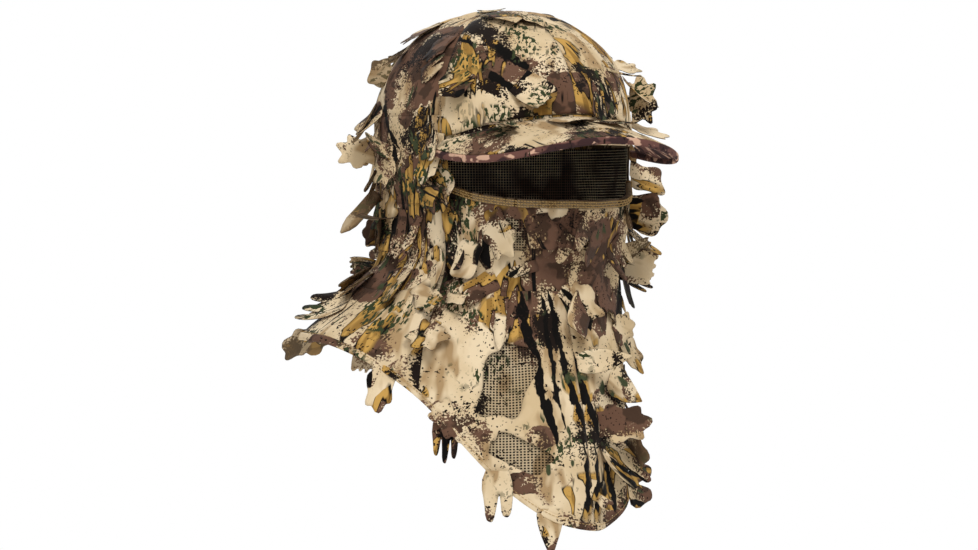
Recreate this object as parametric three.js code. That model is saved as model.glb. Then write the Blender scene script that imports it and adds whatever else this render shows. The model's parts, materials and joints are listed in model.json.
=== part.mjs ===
// A leafy camouflage hunting hood: a soft six-panel crown with a short stiffened brim, an eye window,
// a face mask and a drape that spreads over one shoulder and ends in a rounded bib on the chest.
// Millimetres, +Z up, the face looks along -Y, +X is the wearer's left.
// The origin is the middle of the head at the sweatband, where the hood sits on the head.
import * as THREE from "three";

// ---- driving dimensions ----
const DEG = Math.PI / 180;
const HEAD_HALF_WIDTH = 100; // outside of the cloth at the sweatband, side to side
const HEAD_HALF_LENGTH = 118; // the same, front to back
const CROWN_HEIGHT = 100; // sweatband middle to the top of the crown
const CROWN_POWER = 2.2; // 2 is an ellipsoid, more is squarer
const CROWN_SEAM_Z = 14; // the seam between the crown panels and the band
const CROWN_TIP_ANGLE = 88.5; // the panels stop just short of the top, where their points are stitched

const SHELL = 1.6; // leafy outer cloth
const LINER = 1.0; // mesh lining
const LAYER_GAP = 0.6; // between the two layers
const SEAM_GAP = 0.4; // each panel stops this far from its seam line

const SIDE_SEAM = 59; // degrees round from the face: the mask meets the side panels
const BACK_SEAM = 120; // the side panels meet the back panels
const BROW_Z = -10; // upper edge of the eye window
const WINDOW_FLOOR_Z = -55; // lower edge of the eye window in front
const WINDOW_CORNER_Z = -38; // the same, at its two corners
const CHIN_Z = -128; // fold between the face mask and the drape
const EAR_Z = (CROWN_SEAM_Z + CHIN_Z) / 2; // seam between the temple and cheek panels
const HEM_SIDE_Z = -170; // bottom of the drape at the sides and back
const BIB_DROP = 151; // how much further the bib hangs in front
const BIB_HALF_ANGLE = 93; // the bib's edge has risen to the side hem here

// How far the drape stands off the head's oval, at eight angles round from the face towards the wearer's
// left, for each height. It spreads over the wearer's right shoulder and hangs close on the left.
const DRAPE = [
  { z: 0, off: [0, 0, 0, 0, 0, 0, 0, 0] },
  { z: -50, off: [-1, -2, -3, -2, -4, -2, -3, -2] },
  { z: -100, off: [-10, -10, -8, -10, -18, -8, -5, -8] },
  { z: -135, off: [-14, -12, -6, -8, -22, 20, 26, -4] },
  { z: -170, off: [-6, -12, -5, -4, -14, 38, 70, 10] },
  { z: -230, off: [10, -10, -8, -2, 0, 45, 76, 24] },
  { z: -330, off: [24, -8, -10, 0, 6, 48, 80, 32] },
];

const BIB_GAP = 0.8; // between the mask and the bib at the chin fold, where the bib swings
const HEM_HEIGHT = 5;
const HEM_PROUD = 0.4; // a folded hem is this much thicker than the layers in it, on each side
const HEM_END_GAP = 0.8; // where two hems meet
const EYE_HEM = { height: 9, proud: 1.2, wall: 0.8, clearance: 0.4, endTrim: 0.8 }; // endTrim in degrees
const ELASTIC_HEIGHT = 4;
const SWEATBAND = { top: 12, bottom: -8, thick: 1.6, clearance: 1.2 };

const BRIM = {
  rootAngle: 62, // the brim is sewn to the band as far round as this
  halfWidth: 97,
  endY: -46, // where the brim's edge runs out beside the temples
  depth: 134, // from there to the front edge
  power: 2.8,
  rootZ: 10,
  rootFall: 22,
  rootGap: 1.2, // off the band in the middle
  rootSpread: 2, // how much more at the ends, where it turns as it flexes
  span: 0.94, // its layers stop at this share of the way round to each end
  edgeZ: -7,
  edgeFall: 22,
  fallPower: 2,
  endLift: 14, // the edge rises again from its corners to its ends
};
const BOARD = 1.6;
const COVER = 1.0;
const BINDING = { height: 7, depth: 3, bevel: 1, coverGap: 2.5, boardGap: 5 };
const LEAF_THICK = 1.4;
const LEAF_GAP = 1.6; // a standing leaf's sewn edge stands this far off the cloth it is sewn to
const CROWN_LEAF_GAP = 3.4; // the same on the crown, where the cloth below the leaf is wider
const HANGING_GAP = 3; // the same for a leaf that lies along the cloth, which curves away under it
const HANGING_RISE = 4; // a hanging leaf is sewn on this far above the hem

// ---- materials ----
const cloth = (color, roughness = 0.9) => () =>
  new THREE.MeshStandardMaterial({ color, roughness, metalness: 0 });
const tan = cloth(0xc4b48f);
const brown = cloth(0x6f5a4a);
const bark = cloth(0x3a322c);
const gold = cloth(0xbd9650);
const mesh = cloth(0x7d7358, 0.95);
const edging = cloth(0x6a5a3a);
const underBrim = cloth(0x5c4648);
const elastic = cloth(0x2a2725, 0.8);
const board = cloth(0x2c2c2c, 0.6);

const part = new THREE.Group();
function add(name, geometry, material) {
  const made = new THREE.Mesh(geometry, material());
  made.name = name;
  part.add(made);
  return made;
}

// ---- the form the cloth lies on ----
const lerp = THREE.MathUtils.lerp;

function catmull(a, b, c, d, t) {
  const linear = c - a;
  const square = 2 * a - 5 * b + 4 * c - d;
  const cube = 3 * (b - c) + d - a;
  return b + 0.5 * t * (linear + t * (square + t * cube));
}

function offsetAtLevel(row, phi) {
  const off = DRAPE[THREE.MathUtils.clamp(row, 0, DRAPE.length - 1)].off;
  const turn = (((phi / 45) % 8) + 8) % 8;
  const i = Math.floor(turn);
  const at = (k) => off[(k + 8) % 8];
  return catmull(at(i - 1), at(i), at(i + 1), at(i + 2), turn - i);
}

function drapeOffset(phi, z) {
  let row = 0;
  while (row < DRAPE.length - 2 && z < DRAPE[row + 1].z) row += 1;
  const t = (z - DRAPE[row].z) / (DRAPE[row + 1].z - DRAPE[row].z);
  const at = (k) => offsetAtLevel(k, phi);
  return catmull(at(row - 1), at(row), at(row + 1), at(row + 2), t);
}

function ovalRadius(phi) {
  const x = Math.sin(phi * DEG) / HEAD_HALF_WIDTH;
  const y = Math.cos(phi * DEG) / HEAD_HALF_LENGTH;
  return 1 / Math.hypot(x, y);
}

// Distance from the head's axis to the cloth, phi degrees round from the face, at height z.
function radiusAt(phi, z) {
  if (z <= 0) return ovalRadius(phi) + drapeOffset(phi, z);
  const rise = Math.min(z / CROWN_HEIGHT, 1);
  return ovalRadius(phi) * Math.pow(1 - Math.pow(rise, CROWN_POWER), 1 / CROWN_POWER);
}

function onForm(phi, z) {
  const r = radiusAt(phi, z);
  return new THREE.Vector3(r * Math.sin(phi * DEG), -r * Math.cos(phi * DEG), z);
}

// The crown is measured by the angle psi up from the sweatband, so that its steps stay even near the top.
function onCrown(phi, psi) {
  const z = CROWN_HEIGHT * Math.pow(Math.sin(psi * DEG), 2 / CROWN_POWER);
  return onForm(phi, z);
}

const hemZ = (phi) => {
  const round = Math.abs(((phi + 540) % 360) - 180);
  if (round > BIB_HALF_ANGLE) return HEM_SIDE_Z;
  return HEM_SIDE_Z - BIB_DROP * Math.cos((round / BIB_HALF_ANGLE) * 90 * DEG) ** 2;
};

const windowZ = (phi) => {
  const corner = Math.abs(phi / SIDE_SEAM) ** 3;
  return lerp(WINDOW_FLOOR_Z, WINDOW_CORNER_Z, corner);
};

// ---- builders of closed bodies ----
function facingOut(positions, triangles) {
  let volume = 0;
  const [a, b, c] = [new THREE.Vector3(), new THREE.Vector3(), new THREE.Vector3()];
  for (const [i, j, k] of triangles) {
    a.copy(positions[i]);
    b.copy(positions[j]);
    c.copy(positions[k]);
    volume += a.dot(b.cross(c));
  }
  const index = triangles.flatMap(([i, j, k]) => (volume < 0 ? [i, k, j] : [i, j, k]));
  const geometry = new THREE.BufferGeometry().setFromPoints(positions);
  geometry.setIndex(index);
  geometry.computeVertexNormals();
  return geometry;
}

// The surface's point and outward normal at (s, t), both from 0 to 1.
function withNormal(surface, s, t) {
  const step = 1e-3;
  const point = surface(s, t);
  const alongS = surface(s + step, t).sub(surface(s - step, t));
  const alongT = surface(s, t + step).sub(surface(s, t - step));
  return [point, alongT.cross(alongS).normalize()];
}

// A curved sheet of cloth between two offsets from a surface.
function sheet(surface, outer, inner, columns, rows) {
  const positions = [];
  for (const offset of [outer, inner])
    for (let j = 0; j <= rows; j++)
      for (let i = 0; i <= columns; i++) {
        const [point, normal] = withNormal(surface, i / columns, j / rows);
        positions.push(point.addScaledVector(normal, offset));
      }
  const across = columns + 1;
  const layer = across * (rows + 1);
  const at = (i, j, k) => k * layer + j * across + i;
  const triangles = [];
  const quad = (a, b, c, d) => triangles.push([a, b, c], [a, c, d]);
  for (let j = 0; j < rows; j++)
    for (let i = 0; i < columns; i++) {
      quad(at(i, j, 0), at(i + 1, j, 0), at(i + 1, j + 1, 0), at(i, j + 1, 0));
      quad(at(i, j, 1), at(i, j + 1, 1), at(i + 1, j + 1, 1), at(i + 1, j, 1));
    }
  for (let i = 0; i < columns; i++) {
    quad(at(i, 0, 1), at(i + 1, 0, 1), at(i + 1, 0, 0), at(i, 0, 0));
    quad(at(i, rows, 0), at(i + 1, rows, 0), at(i + 1, rows, 1), at(i, rows, 1));
  }
  for (let j = 0; j < rows; j++) {
    quad(at(0, j, 0), at(0, j + 1, 0), at(0, j + 1, 1), at(0, j, 1));
    quad(at(columns, j, 1), at(columns, j + 1, 1), at(columns, j + 1, 0), at(columns, j, 0));
  }
  return facingOut(positions, triangles);
}

// A section, given anticlockwise as [out, up] points, carried along a line of stations {point, out, up}.
function swept(stations, section, closed = false) {
  const positions = stations.flatMap(({ point, out, up }) =>
    section.map(([a, b]) => point.clone().addScaledVector(out, a).addScaledVector(up, b)),
  );
  const n = section.length;
  const triangles = [];
  const last = closed ? stations.length : stations.length - 1;
  for (let i = 0; i < last; i++)
    for (let k = 0; k < n; k++) {
      const [a, b] = [i * n + k, i * n + ((k + 1) % n)];
      const j = (i + 1) % stations.length;
      const [c, d] = [j * n + ((k + 1) % n), j * n + k];
      triangles.push([a, b, c], [a, c, d]);
    }
  if (!closed) {
    const flat = section.map(([a, b]) => new THREE.Vector2(a, b));
    const end = (stations.length - 1) * n;
    for (const [a, b, c] of THREE.ShapeUtils.triangulateShape(flat, []))
      triangles.push([a, c, b], [end + a, end + b, end + c]);
  }
  return facingOut(positions, triangles);
}

// ---- panels on the form ----
// A panel from seam angle to seam angle, between two edges given as functions of the angle.
function panel(name, fromPhi, toPhi, topZ, bottomZ, material, options = {}) {
  const { outer = 0, thick = SHELL, columns = 5, rows = 5, endGap = SEAM_GAP } = options;
  const surface = (s, t) => {
    const middle = lerp(topZ((fromPhi + toPhi) / 2), bottomZ((fromPhi + toPhi) / 2), t);
    const trim = endGap / DEG / radiusAt(lerp(fromPhi, toPhi, s), middle);
    const phi = lerp(fromPhi + trim, toPhi - trim, s);
    return onForm(phi, lerp(topZ(phi) - SEAM_GAP, bottomZ(phi) + SEAM_GAP, t));
  };
  return add(name, sheet(surface, outer, outer - thick, columns, rows), material);
}
const level = (z) => () => z;

const GORE = 60; // degrees round that one crown panel covers
const CROWN_FOOT_ANGLE =
  Math.asin(((CROWN_SEAM_Z + SEAM_GAP) / CROWN_HEIGHT) ** (CROWN_POWER / 2)) / DEG;

function crownPanel(name, fromPhi, material) {
  const surface = (s, t) => {
    const psi = lerp(CROWN_TIP_ANGLE, CROWN_FOOT_ANGLE, t);
    const middle = onCrown(fromPhi + GORE / 2, psi);
    const trim = SEAM_GAP / DEG / Math.hypot(middle.x, middle.y);
    return onCrown(lerp(fromPhi + trim, fromPhi + GORE - trim, s), psi);
  };
  return add(name, sheet(surface, 0, -SHELL, 6, 8), material);
}

function buildCrown() {
  crownPanel("crown_front_left_panel", 0, tan);
  crownPanel("crown_side_left_panel", GORE, brown);
  crownPanel("crown_back_left_panel", 2 * GORE, tan);
  crownPanel("crown_back_right_panel", 3 * GORE, brown);
  crownPanel("crown_side_right_panel", 4 * GORE, tan);
  crownPanel("crown_front_right_panel", 5 * GORE, brown);
}

// A ring inside the crown's lower edge, which grips the head.
function buildSweatband() {
  const inside = -(SHELL + SWEATBAND.clearance);
  const middle = (SWEATBAND.top + SWEATBAND.bottom) / 2;
  const half = (SWEATBAND.top - SWEATBAND.bottom) / 2;
  const stations = Array.from({ length: 36 }, (_, i) => {
    const phi = i * 10;
    const out = new THREE.Vector3(Math.sin(phi * DEG), -Math.cos(phi * DEG), 0);
    const r = Math.min(radiusAt(phi, SWEATBAND.top), radiusAt(phi, SWEATBAND.bottom)) + inside;
    return { point: out.clone().multiplyScalar(r).setZ(middle), out, up: new THREE.Vector3(0, 0, 1) };
  });
  const section = [
    [-SWEATBAND.thick, -half],
    [0, -half],
    [0, half],
    [-SWEATBAND.thick, half],
  ];
  add("sweatband", swept(stations, section, true), elastic);
}

function buildFaceAndBack() {
  const side = { columns: 6, rows: 6 };
  const [seam, ear, chin] = [level(CROWN_SEAM_Z), level(EAR_Z), level(CHIN_Z)];
  panel("brow_band", -SIDE_SEAM, SIDE_SEAM, seam, level(BROW_Z), tan, { columns: 12, rows: 2 });
  const maskTop = (phi) => windowZ(phi) - EYE_HEM.wall - 2 * EYE_HEM.clearance - ELASTIC_HEIGHT;
  const lining = { outer: -SHELL - LAYER_GAP, thick: LINER };
  panel("mask_right_panel", -SIDE_SEAM, 0, maskTop, chin, tan, side);
  panel("mask_left_panel", 0, SIDE_SEAM, maskTop, chin, brown, side);
  const maskLining = { ...lining, columns: 12, rows: 6 };
  panel("mask_mesh_liner", -SIDE_SEAM, SIDE_SEAM, maskTop, chin, mesh, maskLining);
  // The lining starts below the sweatband, a sixth of the way down, so that its rows match the panels'.
  const bandFoot = level(lerp(CROWN_SEAM_Z, CHIN_Z, 1 / 6));
  const tall = { ...side, rows: 12 };
  const shortened = { ...side, ...lining, rows: 10 };
  for (const [hand, near, mid, far] of [
    ["left", SIDE_SEAM, BACK_SEAM, 180],
    ["right", 360 - SIDE_SEAM, 360 - BACK_SEAM, 180],
  ]) {
    const flank = [Math.min(near, mid), Math.max(near, mid)];
    const back = [Math.min(mid, far), Math.max(mid, far)];
    panel(`temple_${hand}_panel`, ...flank, seam, ear, brown, side);
    panel(`cheek_${hand}_panel`, ...flank, ear, chin, tan, side);
    panel(`side_${hand}_mesh_liner`, ...flank, bandFoot, chin, mesh, shortened);
    panel(`back_${hand}_panel`, ...back, seam, chin, bark, tall);
    panel(`back_${hand}_mesh_liner`, ...back, bandFoot, chin, mesh, shortened);
  }
}

// The folded hem along the mask's upper edge, with its elastic inside.
function buildEyeHem() {
  const { height, proud, wall, clearance, endTrim } = EYE_HEM;
  const deep = SHELL + LAYER_GAP + LINER;
  const outside = proud;
  const inside = -deep - proud;
  const channel = [
    [outside, -height],
    [outside, 0],
    [inside, 0],
    [inside, -height],
    [inside + wall, -height],
    [inside + wall, -wall],
    [outside - wall, -wall],
    [outside - wall, -height],
  ];
  const strip = [
    [-deep + clearance, -wall - clearance - ELASTIC_HEIGHT],
    [-clearance, -wall - clearance - ELASTIC_HEIGHT],
    [-clearance, -wall - clearance],
    [-deep + clearance, -wall - clearance],
  ];
  // The hem leans with the cloth below it.
  const along = (margin) =>
    Array.from({ length: 13 }, (_, i) => {
      const phi = lerp(margin - SIDE_SEAM, SIDE_SEAM - margin, i / 12);
      const point = onForm(phi, windowZ(phi));
      const up = point.clone().sub(onForm(phi, windowZ(phi) - height)).normalize();
      const out = around(phi).cross(up).normalize();
      return { point, out, up };
    });
  add("eye_hem", swept(along(endTrim), channel), edging);
  add("eye_hem_elastic", swept(along(2 * endTrim), strip), elastic);
}

// ---- drape ----
function buildDrape() {
  const panelFoot = (phi) => hemZ(phi) + HEM_HEIGHT;
  const lower = { columns: 6, rows: 5 };
  panel("shoulder_right_panel", -BACK_SEAM, -SIDE_SEAM, level(CHIN_Z), panelFoot, tan, lower);
  panel("shoulder_left_panel", SIDE_SEAM, BACK_SEAM, level(CHIN_Z), panelFoot, brown, lower);
  panel("nape_left_panel", BACK_SEAM, 180, level(CHIN_Z), panelFoot, bark, lower);
  panel("nape_right_panel", 180, 360 - BACK_SEAM, level(CHIN_Z), panelFoot, tan, lower);
  const bib = { columns: 6, rows: 10 };
  const bibTop = level(CHIN_Z - BIB_GAP);
  panel("bib_right_panel", -SIDE_SEAM, 0, bibTop, panelFoot, tan, bib);
  panel("bib_left_panel", 0, SIDE_SEAM, bibTop, panelFoot, bark, bib);
  const lining = { outer: -SHELL - LAYER_GAP, thick: LINER, columns: 12, rows: 10, endGap: BIB_GAP };
  panel("bib_mesh_liner", -SIDE_SEAM, SIDE_SEAM, bibTop, panelFoot, mesh, lining);
  const thick = SHELL + LAYER_GAP + LINER + 2 * HEM_PROUD;
  const hem = { outer: HEM_PROUD, thick, rows: 1, endGap: HEM_END_GAP };
  const hemStrip = (name, from, to, columns) =>
    panel(name, from, to, panelFoot, hemZ, edging, { ...hem, columns });
  hemStrip("bib_hem", -SIDE_SEAM, SIDE_SEAM, 16);
  hemStrip("shoulder_right_hem", -BACK_SEAM, -SIDE_SEAM, 6);
  hemStrip("shoulder_left_hem", SIDE_SEAM, BACK_SEAM, 6);
  hemStrip("nape_hem", BACK_SEAM, 360 - BACK_SEAM, 12);
}

// ---- brim ----
const fall = (x, top, drop) => top - drop * Math.abs(x / BRIM.halfWidth) ** BRIM.fallPower;

function brimRoot(s) {
  const a = s * BRIM.rootAngle * DEG;
  const gap = BRIM.rootGap + BRIM.rootSpread * s * s;
  const x = (HEAD_HALF_WIDTH + gap) * Math.sin(a);
  const y = -(HEAD_HALF_LENGTH + gap) * Math.cos(a);
  return new THREE.Vector3(x, y, fall(x, BRIM.rootZ, BRIM.rootFall));
}

function brimEdge(s) {
  const b = s * 90 * DEG;
  const x = BRIM.halfWidth * Math.sign(s) * Math.abs(Math.sin(b)) ** (2 / BRIM.power);
  const reach = Math.max(Math.cos(b), 0) ** (2 / BRIM.power);
  const z = fall(x, BRIM.edgeZ, BRIM.edgeFall) + BRIM.endLift * (1 - reach) ** 1.5;
  return new THREE.Vector3(x, BRIM.endY - BRIM.depth * reach, z);
}

// A brim layer covers the brim except for a margin along its edge.
function brimLayer(name, top, bottom, margin, material) {
  const surface = (s, t) => {
    const side = lerp(-BRIM.span, BRIM.span, s);
    const root = brimRoot(side);
    const edge = brimEdge(side);
    const width = Math.max(root.distanceTo(edge), margin + 1);
    return root.lerp(edge, t * (1 - margin / width));
  };
  add(name, sheet(surface, top, bottom, 20, 4), material);
}

function buildBrim() {
  const half = BOARD / 2;
  const face = half + LAYER_GAP;
  const coverMargin = BINDING.depth + BINDING.coverGap;
  brimLayer("brim_board", half, -half, BINDING.depth + BINDING.boardGap, board);
  brimLayer("brim_top_cover", face + COVER, face, coverMargin, tan);
  brimLayer("brim_under_cover", -face, -face - COVER, coverMargin, underBrim);
  const stations = Array.from({ length: 33 }, (_, i) => {
    const s = lerp(-BRIM.span, BRIM.span, i / 32);
    const point = brimEdge(s);
    const tangent = brimEdge(s + 1e-3).sub(brimEdge(s - 1e-3)).setZ(0).normalize();
    return { point, out: new THREE.Vector3(tangent.y, -tangent.x, 0), up: new THREE.Vector3(0, 0, 1) };
  });
  const [h, d, bevel] = [BINDING.height / 2, BINDING.depth, BINDING.bevel];
  const section = [
    [-d, -h],
    [-bevel, -h],
    [0, bevel - h],
    [0, h - bevel],
    [-bevel, h],
    [-d, h],
  ];
  add("brim_edge_binding", swept(stations, section), underBrim);
}

// ---- leaves: cut flaps sewn on along one edge ----
// Half-outlines across the leaf from its sewn edge to its tip, as shares of its length and half-width.
const LEAF_SHAPES = {
  lobed: [[0, 0.55], [0.2, 0.9], [0.4, 0.7], [0.6, 1], [0.78, 0.62], [0.92, 0.5], [1, 0.12]],
  pointed: [[0, 0.6], [0.3, 1], [0.65, 0.7], [1, 0.08]],
  strap: [[0, 0.9], [0.4, 1], [0.8, 0.9], [1, 0.3]],
  fingers: [[0, 0.7], [0.35, 0.8], [0.7, 1], [1, 0.7], [0.62, 0.28], [0.9, 0.12]],
};

function leafOutline(kind, length, width) {
  const half = LEAF_SHAPES[kind].map(([l, w]) => new THREE.Vector2(l * length, (w * width) / 2));
  const other = half.map((p) => new THREE.Vector2(p.x, -p.y)).reverse();
  return new THREE.Shape([...half, ...other]);
}

// along: the way the leaf points from its sewn edge; edge: the line of that edge, its hinge.
function leaf(name, kind, length, width, root, along, edge, material) {
  const geometry = new THREE.ExtrudeGeometry(leafOutline(kind, length, width), {
    depth: LEAF_THICK,
    bevelEnabled: false,
  }).translate(0, 0, -LEAF_THICK / 2);
  const made = add(name, geometry, material);
  const x = along.clone().normalize();
  const z = x.clone().cross(edge).normalize();
  made.quaternion.setFromRotationMatrix(new THREE.Matrix4().makeBasis(x, z.clone().cross(x), z));
  made.position.copy(root);
}

const around = (phi) => new THREE.Vector3(Math.cos(phi * DEG), Math.sin(phi * DEG), 0);
const outward = (phi) => new THREE.Vector3(Math.sin(phi * DEG), -Math.cos(phi * DEG), 0);

// Leaves that stand out from the cloth turn about an upright edge.
// splay is their angle off the cloth, towards larger angles round; rise tips them up or down.
function standingLeaf(name, kind, length, width, phi, z, splay, rise, material, gap = LEAF_GAP) {
  const lean = (width / 2) * Math.abs(Math.sin(rise * DEG)); // keeps a tipped leaf's corner off the cloth
  const root = onForm(phi, z).addScaledVector(outward(phi), gap + lean);
  const along = around(phi)
    .multiplyScalar(Math.cos(splay * DEG))
    .addScaledVector(outward(phi), Math.sin(splay * DEG))
    .multiplyScalar(Math.cos(rise * DEG))
    .setZ(Math.sin(rise * DEG));
  leaf(name, kind, length, width, root, along, new THREE.Vector3(0, 0, 1), material);
}

// Leaves sewn just above the hem hang down over it, along the cloth, and lift outwards.
function hangingLeaf(name, kind, length, width, phi, material) {
  const z = hemZ(phi) + HEM_HEIGHT + HANGING_RISE;
  const edge = onForm(phi + 3, z).sub(onForm(phi - 3, z)).normalize();
  const down = onForm(phi, z - length).sub(onForm(phi, z)).normalize();
  const off = down.clone().cross(edge).normalize();
  const root = onForm(phi, z).addScaledVector(off, HANGING_GAP);
  leaf(name, kind, length, width, root, down, edge, material);
}

function buildLeaves() {
  standingLeaf("leaf_temple_right", "lobed", 32, 30, -124, -14, 94, 0, tan);
  standingLeaf("leaf_ear_strap_right", "strap", 42, 12, -112, -50, 90, -50, bark);
  standingLeaf("leaf_jaw_right", "pointed", 18, 24, -130, -80, 90, 0, brown);
  standingLeaf("leaf_crown_right", "pointed", 16, 26, -114, 50, 80, 10, brown);
  standingLeaf("leaf_crown_left", "lobed", 24, 40, 56, 30, 80, 0, gold, CROWN_LEAF_GAP);
  standingLeaf("leaf_cheek_left_upper", "lobed", 34, 36, 54, -64, 84, 0, tan);
  standingLeaf("leaf_cheek_left_lower", "lobed", 30, 30, 54, -106, 84, -8, tan);
  standingLeaf("leaf_bib_left_point", "pointed", 42, 20, 2, -186, 36, 8, tan);
  standingLeaf("leaf_bib_left_lobed", "lobed", 42, 34, 8, -234, 40, 0, brown);
  hangingLeaf("leaf_shoulder_right_hem", "lobed", 42, 26, -69, gold);
  hangingLeaf("leaf_bib_hem_outer", "fingers", 42, 22, -50, gold);
  hangingLeaf("leaf_bib_hem_fingers", "fingers", 48, 26, -32, tan);
  hangingLeaf("leaf_bib_hem_single", "pointed", 40, 22, -15, brown);
  hangingLeaf("leaf_nape_left", "lobed", 38, 26, 155, tan);
  hangingLeaf("leaf_nape_right", "pointed", 40, 24, -152, brown);
}

buildCrown();
buildSweatband();
buildFaceAndBack();
buildEyeHem();
buildDrape();
buildBrim();
buildLeaves();

export default part;
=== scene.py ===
import json
import math
import random

import bpy
import numpy as np
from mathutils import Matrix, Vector
from mathutils.geometry import delaunay_2d_cdt


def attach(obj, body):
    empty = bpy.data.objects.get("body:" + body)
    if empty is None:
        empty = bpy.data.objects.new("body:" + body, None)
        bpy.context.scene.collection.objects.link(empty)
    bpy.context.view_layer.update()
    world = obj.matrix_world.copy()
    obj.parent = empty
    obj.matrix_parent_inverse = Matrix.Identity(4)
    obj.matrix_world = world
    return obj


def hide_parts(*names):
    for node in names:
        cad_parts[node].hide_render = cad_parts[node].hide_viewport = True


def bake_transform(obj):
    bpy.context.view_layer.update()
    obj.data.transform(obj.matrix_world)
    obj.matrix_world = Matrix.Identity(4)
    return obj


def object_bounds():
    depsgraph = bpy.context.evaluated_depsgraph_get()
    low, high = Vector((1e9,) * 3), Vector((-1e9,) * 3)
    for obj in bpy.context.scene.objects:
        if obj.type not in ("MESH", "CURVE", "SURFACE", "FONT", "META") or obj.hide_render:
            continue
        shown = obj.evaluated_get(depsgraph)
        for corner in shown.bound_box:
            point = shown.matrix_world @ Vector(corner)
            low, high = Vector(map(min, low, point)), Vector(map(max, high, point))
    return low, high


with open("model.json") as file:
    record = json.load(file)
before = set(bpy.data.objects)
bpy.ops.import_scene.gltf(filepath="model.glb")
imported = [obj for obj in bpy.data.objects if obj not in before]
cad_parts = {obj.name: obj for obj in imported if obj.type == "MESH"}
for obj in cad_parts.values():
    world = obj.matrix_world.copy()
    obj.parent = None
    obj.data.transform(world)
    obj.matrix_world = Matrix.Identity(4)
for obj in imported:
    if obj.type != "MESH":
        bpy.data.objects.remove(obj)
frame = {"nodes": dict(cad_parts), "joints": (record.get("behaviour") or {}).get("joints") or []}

cad_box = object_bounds()
MM = 0.001
CLOTH_RADIUS = 105.0  # turns an angle round the head into millimetres of printed cloth
PANEL_CLOTH, LEAF_CLOTH, SEAM_CLOTH, BRIM_CLOTH = 0.6, 0.45, 0.4, 0.8  # thicknesses
PANEL_MESH, LEAF_MESH, LARGE_LEAF_MESH = 3.6, 4.5, 3  # spacing of the points in each
NET_PITCH, NET_STRAND = 2.2, 0.9
FLAT_ABOVE = 110  # leaves further up the crown than this lie flat

# Leaves keep to the CAD box and a margin around it: a share of each side, and millimetres. On the wearer's
# right the margin is less, because the corner of the shoulder hem is the outermost thing there.
MARGIN_SHARE, MARGIN, LESS_ON_THE_RIGHT = 0.03, 8, 15.5


def leaf_room():
    """The lowest and the highest corner of the space that leaves keep to, in millimetres."""
    low, high = (np.array([c / MM for c in corner]) for corner in cad_box)
    spare = MARGIN_SHARE * (high - low) + MARGIN
    low, high = low - spare, high + spare
    low[0] += LESS_ON_THE_RIGHT
    return low, high


ROOM = leaf_room()

# ---- the form, as the CAD model has it ----
HEAD_HALF_WIDTH, HEAD_HALF_LENGTH = 100, 118
CROWN_HEIGHT, CROWN_POWER = 100, 2.2
CROWN_ARC = 165  # length over the crown from the sweatband to the top
CROWN_SEAM_Z, BROW_Z, CHIN_Z = 14, -10, -128
EAR_Z = (CROWN_SEAM_Z + CHIN_Z) / 2
SIDE_SEAM, BACK_SEAM = 59, 120  # degrees round from the face
WINDOW_FLOOR_Z, WINDOW_CORNER_Z = -55, -38
HEM_SIDE_Z, BIB_DROP, BIB_HALF_ANGLE = -170, 151, 93
# How far the drape stands off the head's oval: a row for each height, a column for every 45 degrees round.
DRAPE_Z = np.array([0, -50, -100, -135, -170, -230, -330], float)
DRAPE_OFF = np.array([
    [0, 0, 0, 0, 0, 0, 0, 0],
    [-1, -2, -3, -2, -4, -2, -3, -2],
    [-10, -10, -8, -10, -18, -8, -5, -8],
    [-14, -12, -6, -8, -22, 20, 26, -4],
    [-6, -12, -5, -4, -14, 38, 70, 10],
    [10, -10, -8, -2, 0, 45, 76, 24],
    [24, -8, -10, 0, 6, 48, 80, 32],
], float)


def catmull(a, b, c, d, t):
    return b + 0.5 * t * (c - a + t * (2 * a - 5 * b + 4 * c - d + t * (3 * (b - c) + d - a)))


def smooth(x, low, high):
    t = np.clip((x - low) / (high - low), 0, 1)
    return t * t * (3 - 2 * t)


def drape_offset(phi, z):
    """How far the drape stands off the head's oval."""
    turn = np.mod(phi / 45, 8)
    i = np.floor(turn).astype(int)

    def at_level(row):
        row = np.clip(row, 0, len(DRAPE_Z) - 1)
        a, b, c, d = (DRAPE_OFF[row, (i + k) % 8] for k in (-1, 0, 1, 2))
        return catmull(a, b, c, d, turn - i)

    row = np.clip(np.searchsorted(-DRAPE_Z, -z, side="left") - 1, 0, len(DRAPE_Z) - 2)
    t = (z - DRAPE_Z[row]) / (DRAPE_Z[row + 1] - DRAPE_Z[row])
    return catmull(*(at_level(row + k) for k in (-1, 0, 1, 2)), t)


def oval(phi):
    a = np.radians(phi)
    return 1 / np.hypot(np.sin(a) / HEAD_HALF_WIDTH, np.cos(a) / HEAD_HALF_LENGTH)


def form(phi, v):
    """Points on the form. phi is degrees round from the face; v is the height, or the arc above the band."""
    phi, v = np.broadcast_arrays(np.asarray(phi, float), np.asarray(v, float))
    psi = np.radians(90 * np.clip(v, 0, CROWN_ARC) / CROWN_ARC)
    dome_z = CROWN_HEIGHT * np.sin(psi) ** (2 / CROWN_POWER)
    dome_r = oval(phi) * np.maximum(np.cos(psi), 0) ** (2 / CROWN_POWER)
    drape = oval(phi) + drape_offset(phi, np.minimum(v, 0))
    r = np.where(v > 0, dome_r, drape)
    z = np.where(v > 0, dome_z, v)
    a = np.radians(phi)
    return np.stack([r * np.sin(a), -r * np.cos(a), z], -1)


def unit(a):
    return a / np.maximum(np.linalg.norm(a, axis=-1, keepdims=True), 1e-9)


def frames(phi, v):
    """Point, outward normal, direction round and direction down at each (phi, v) of the bare form."""
    low = np.minimum(np.asarray(v, float), CROWN_ARC - 3)
    round_ = unit(form(phi + 0.5, low) - form(phi - 0.5, low))
    down = unit(form(phi, low - 1) - form(phi, low + 1))
    out = unit(np.cross(down, round_))
    return form(phi, v), out, round_, down


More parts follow.
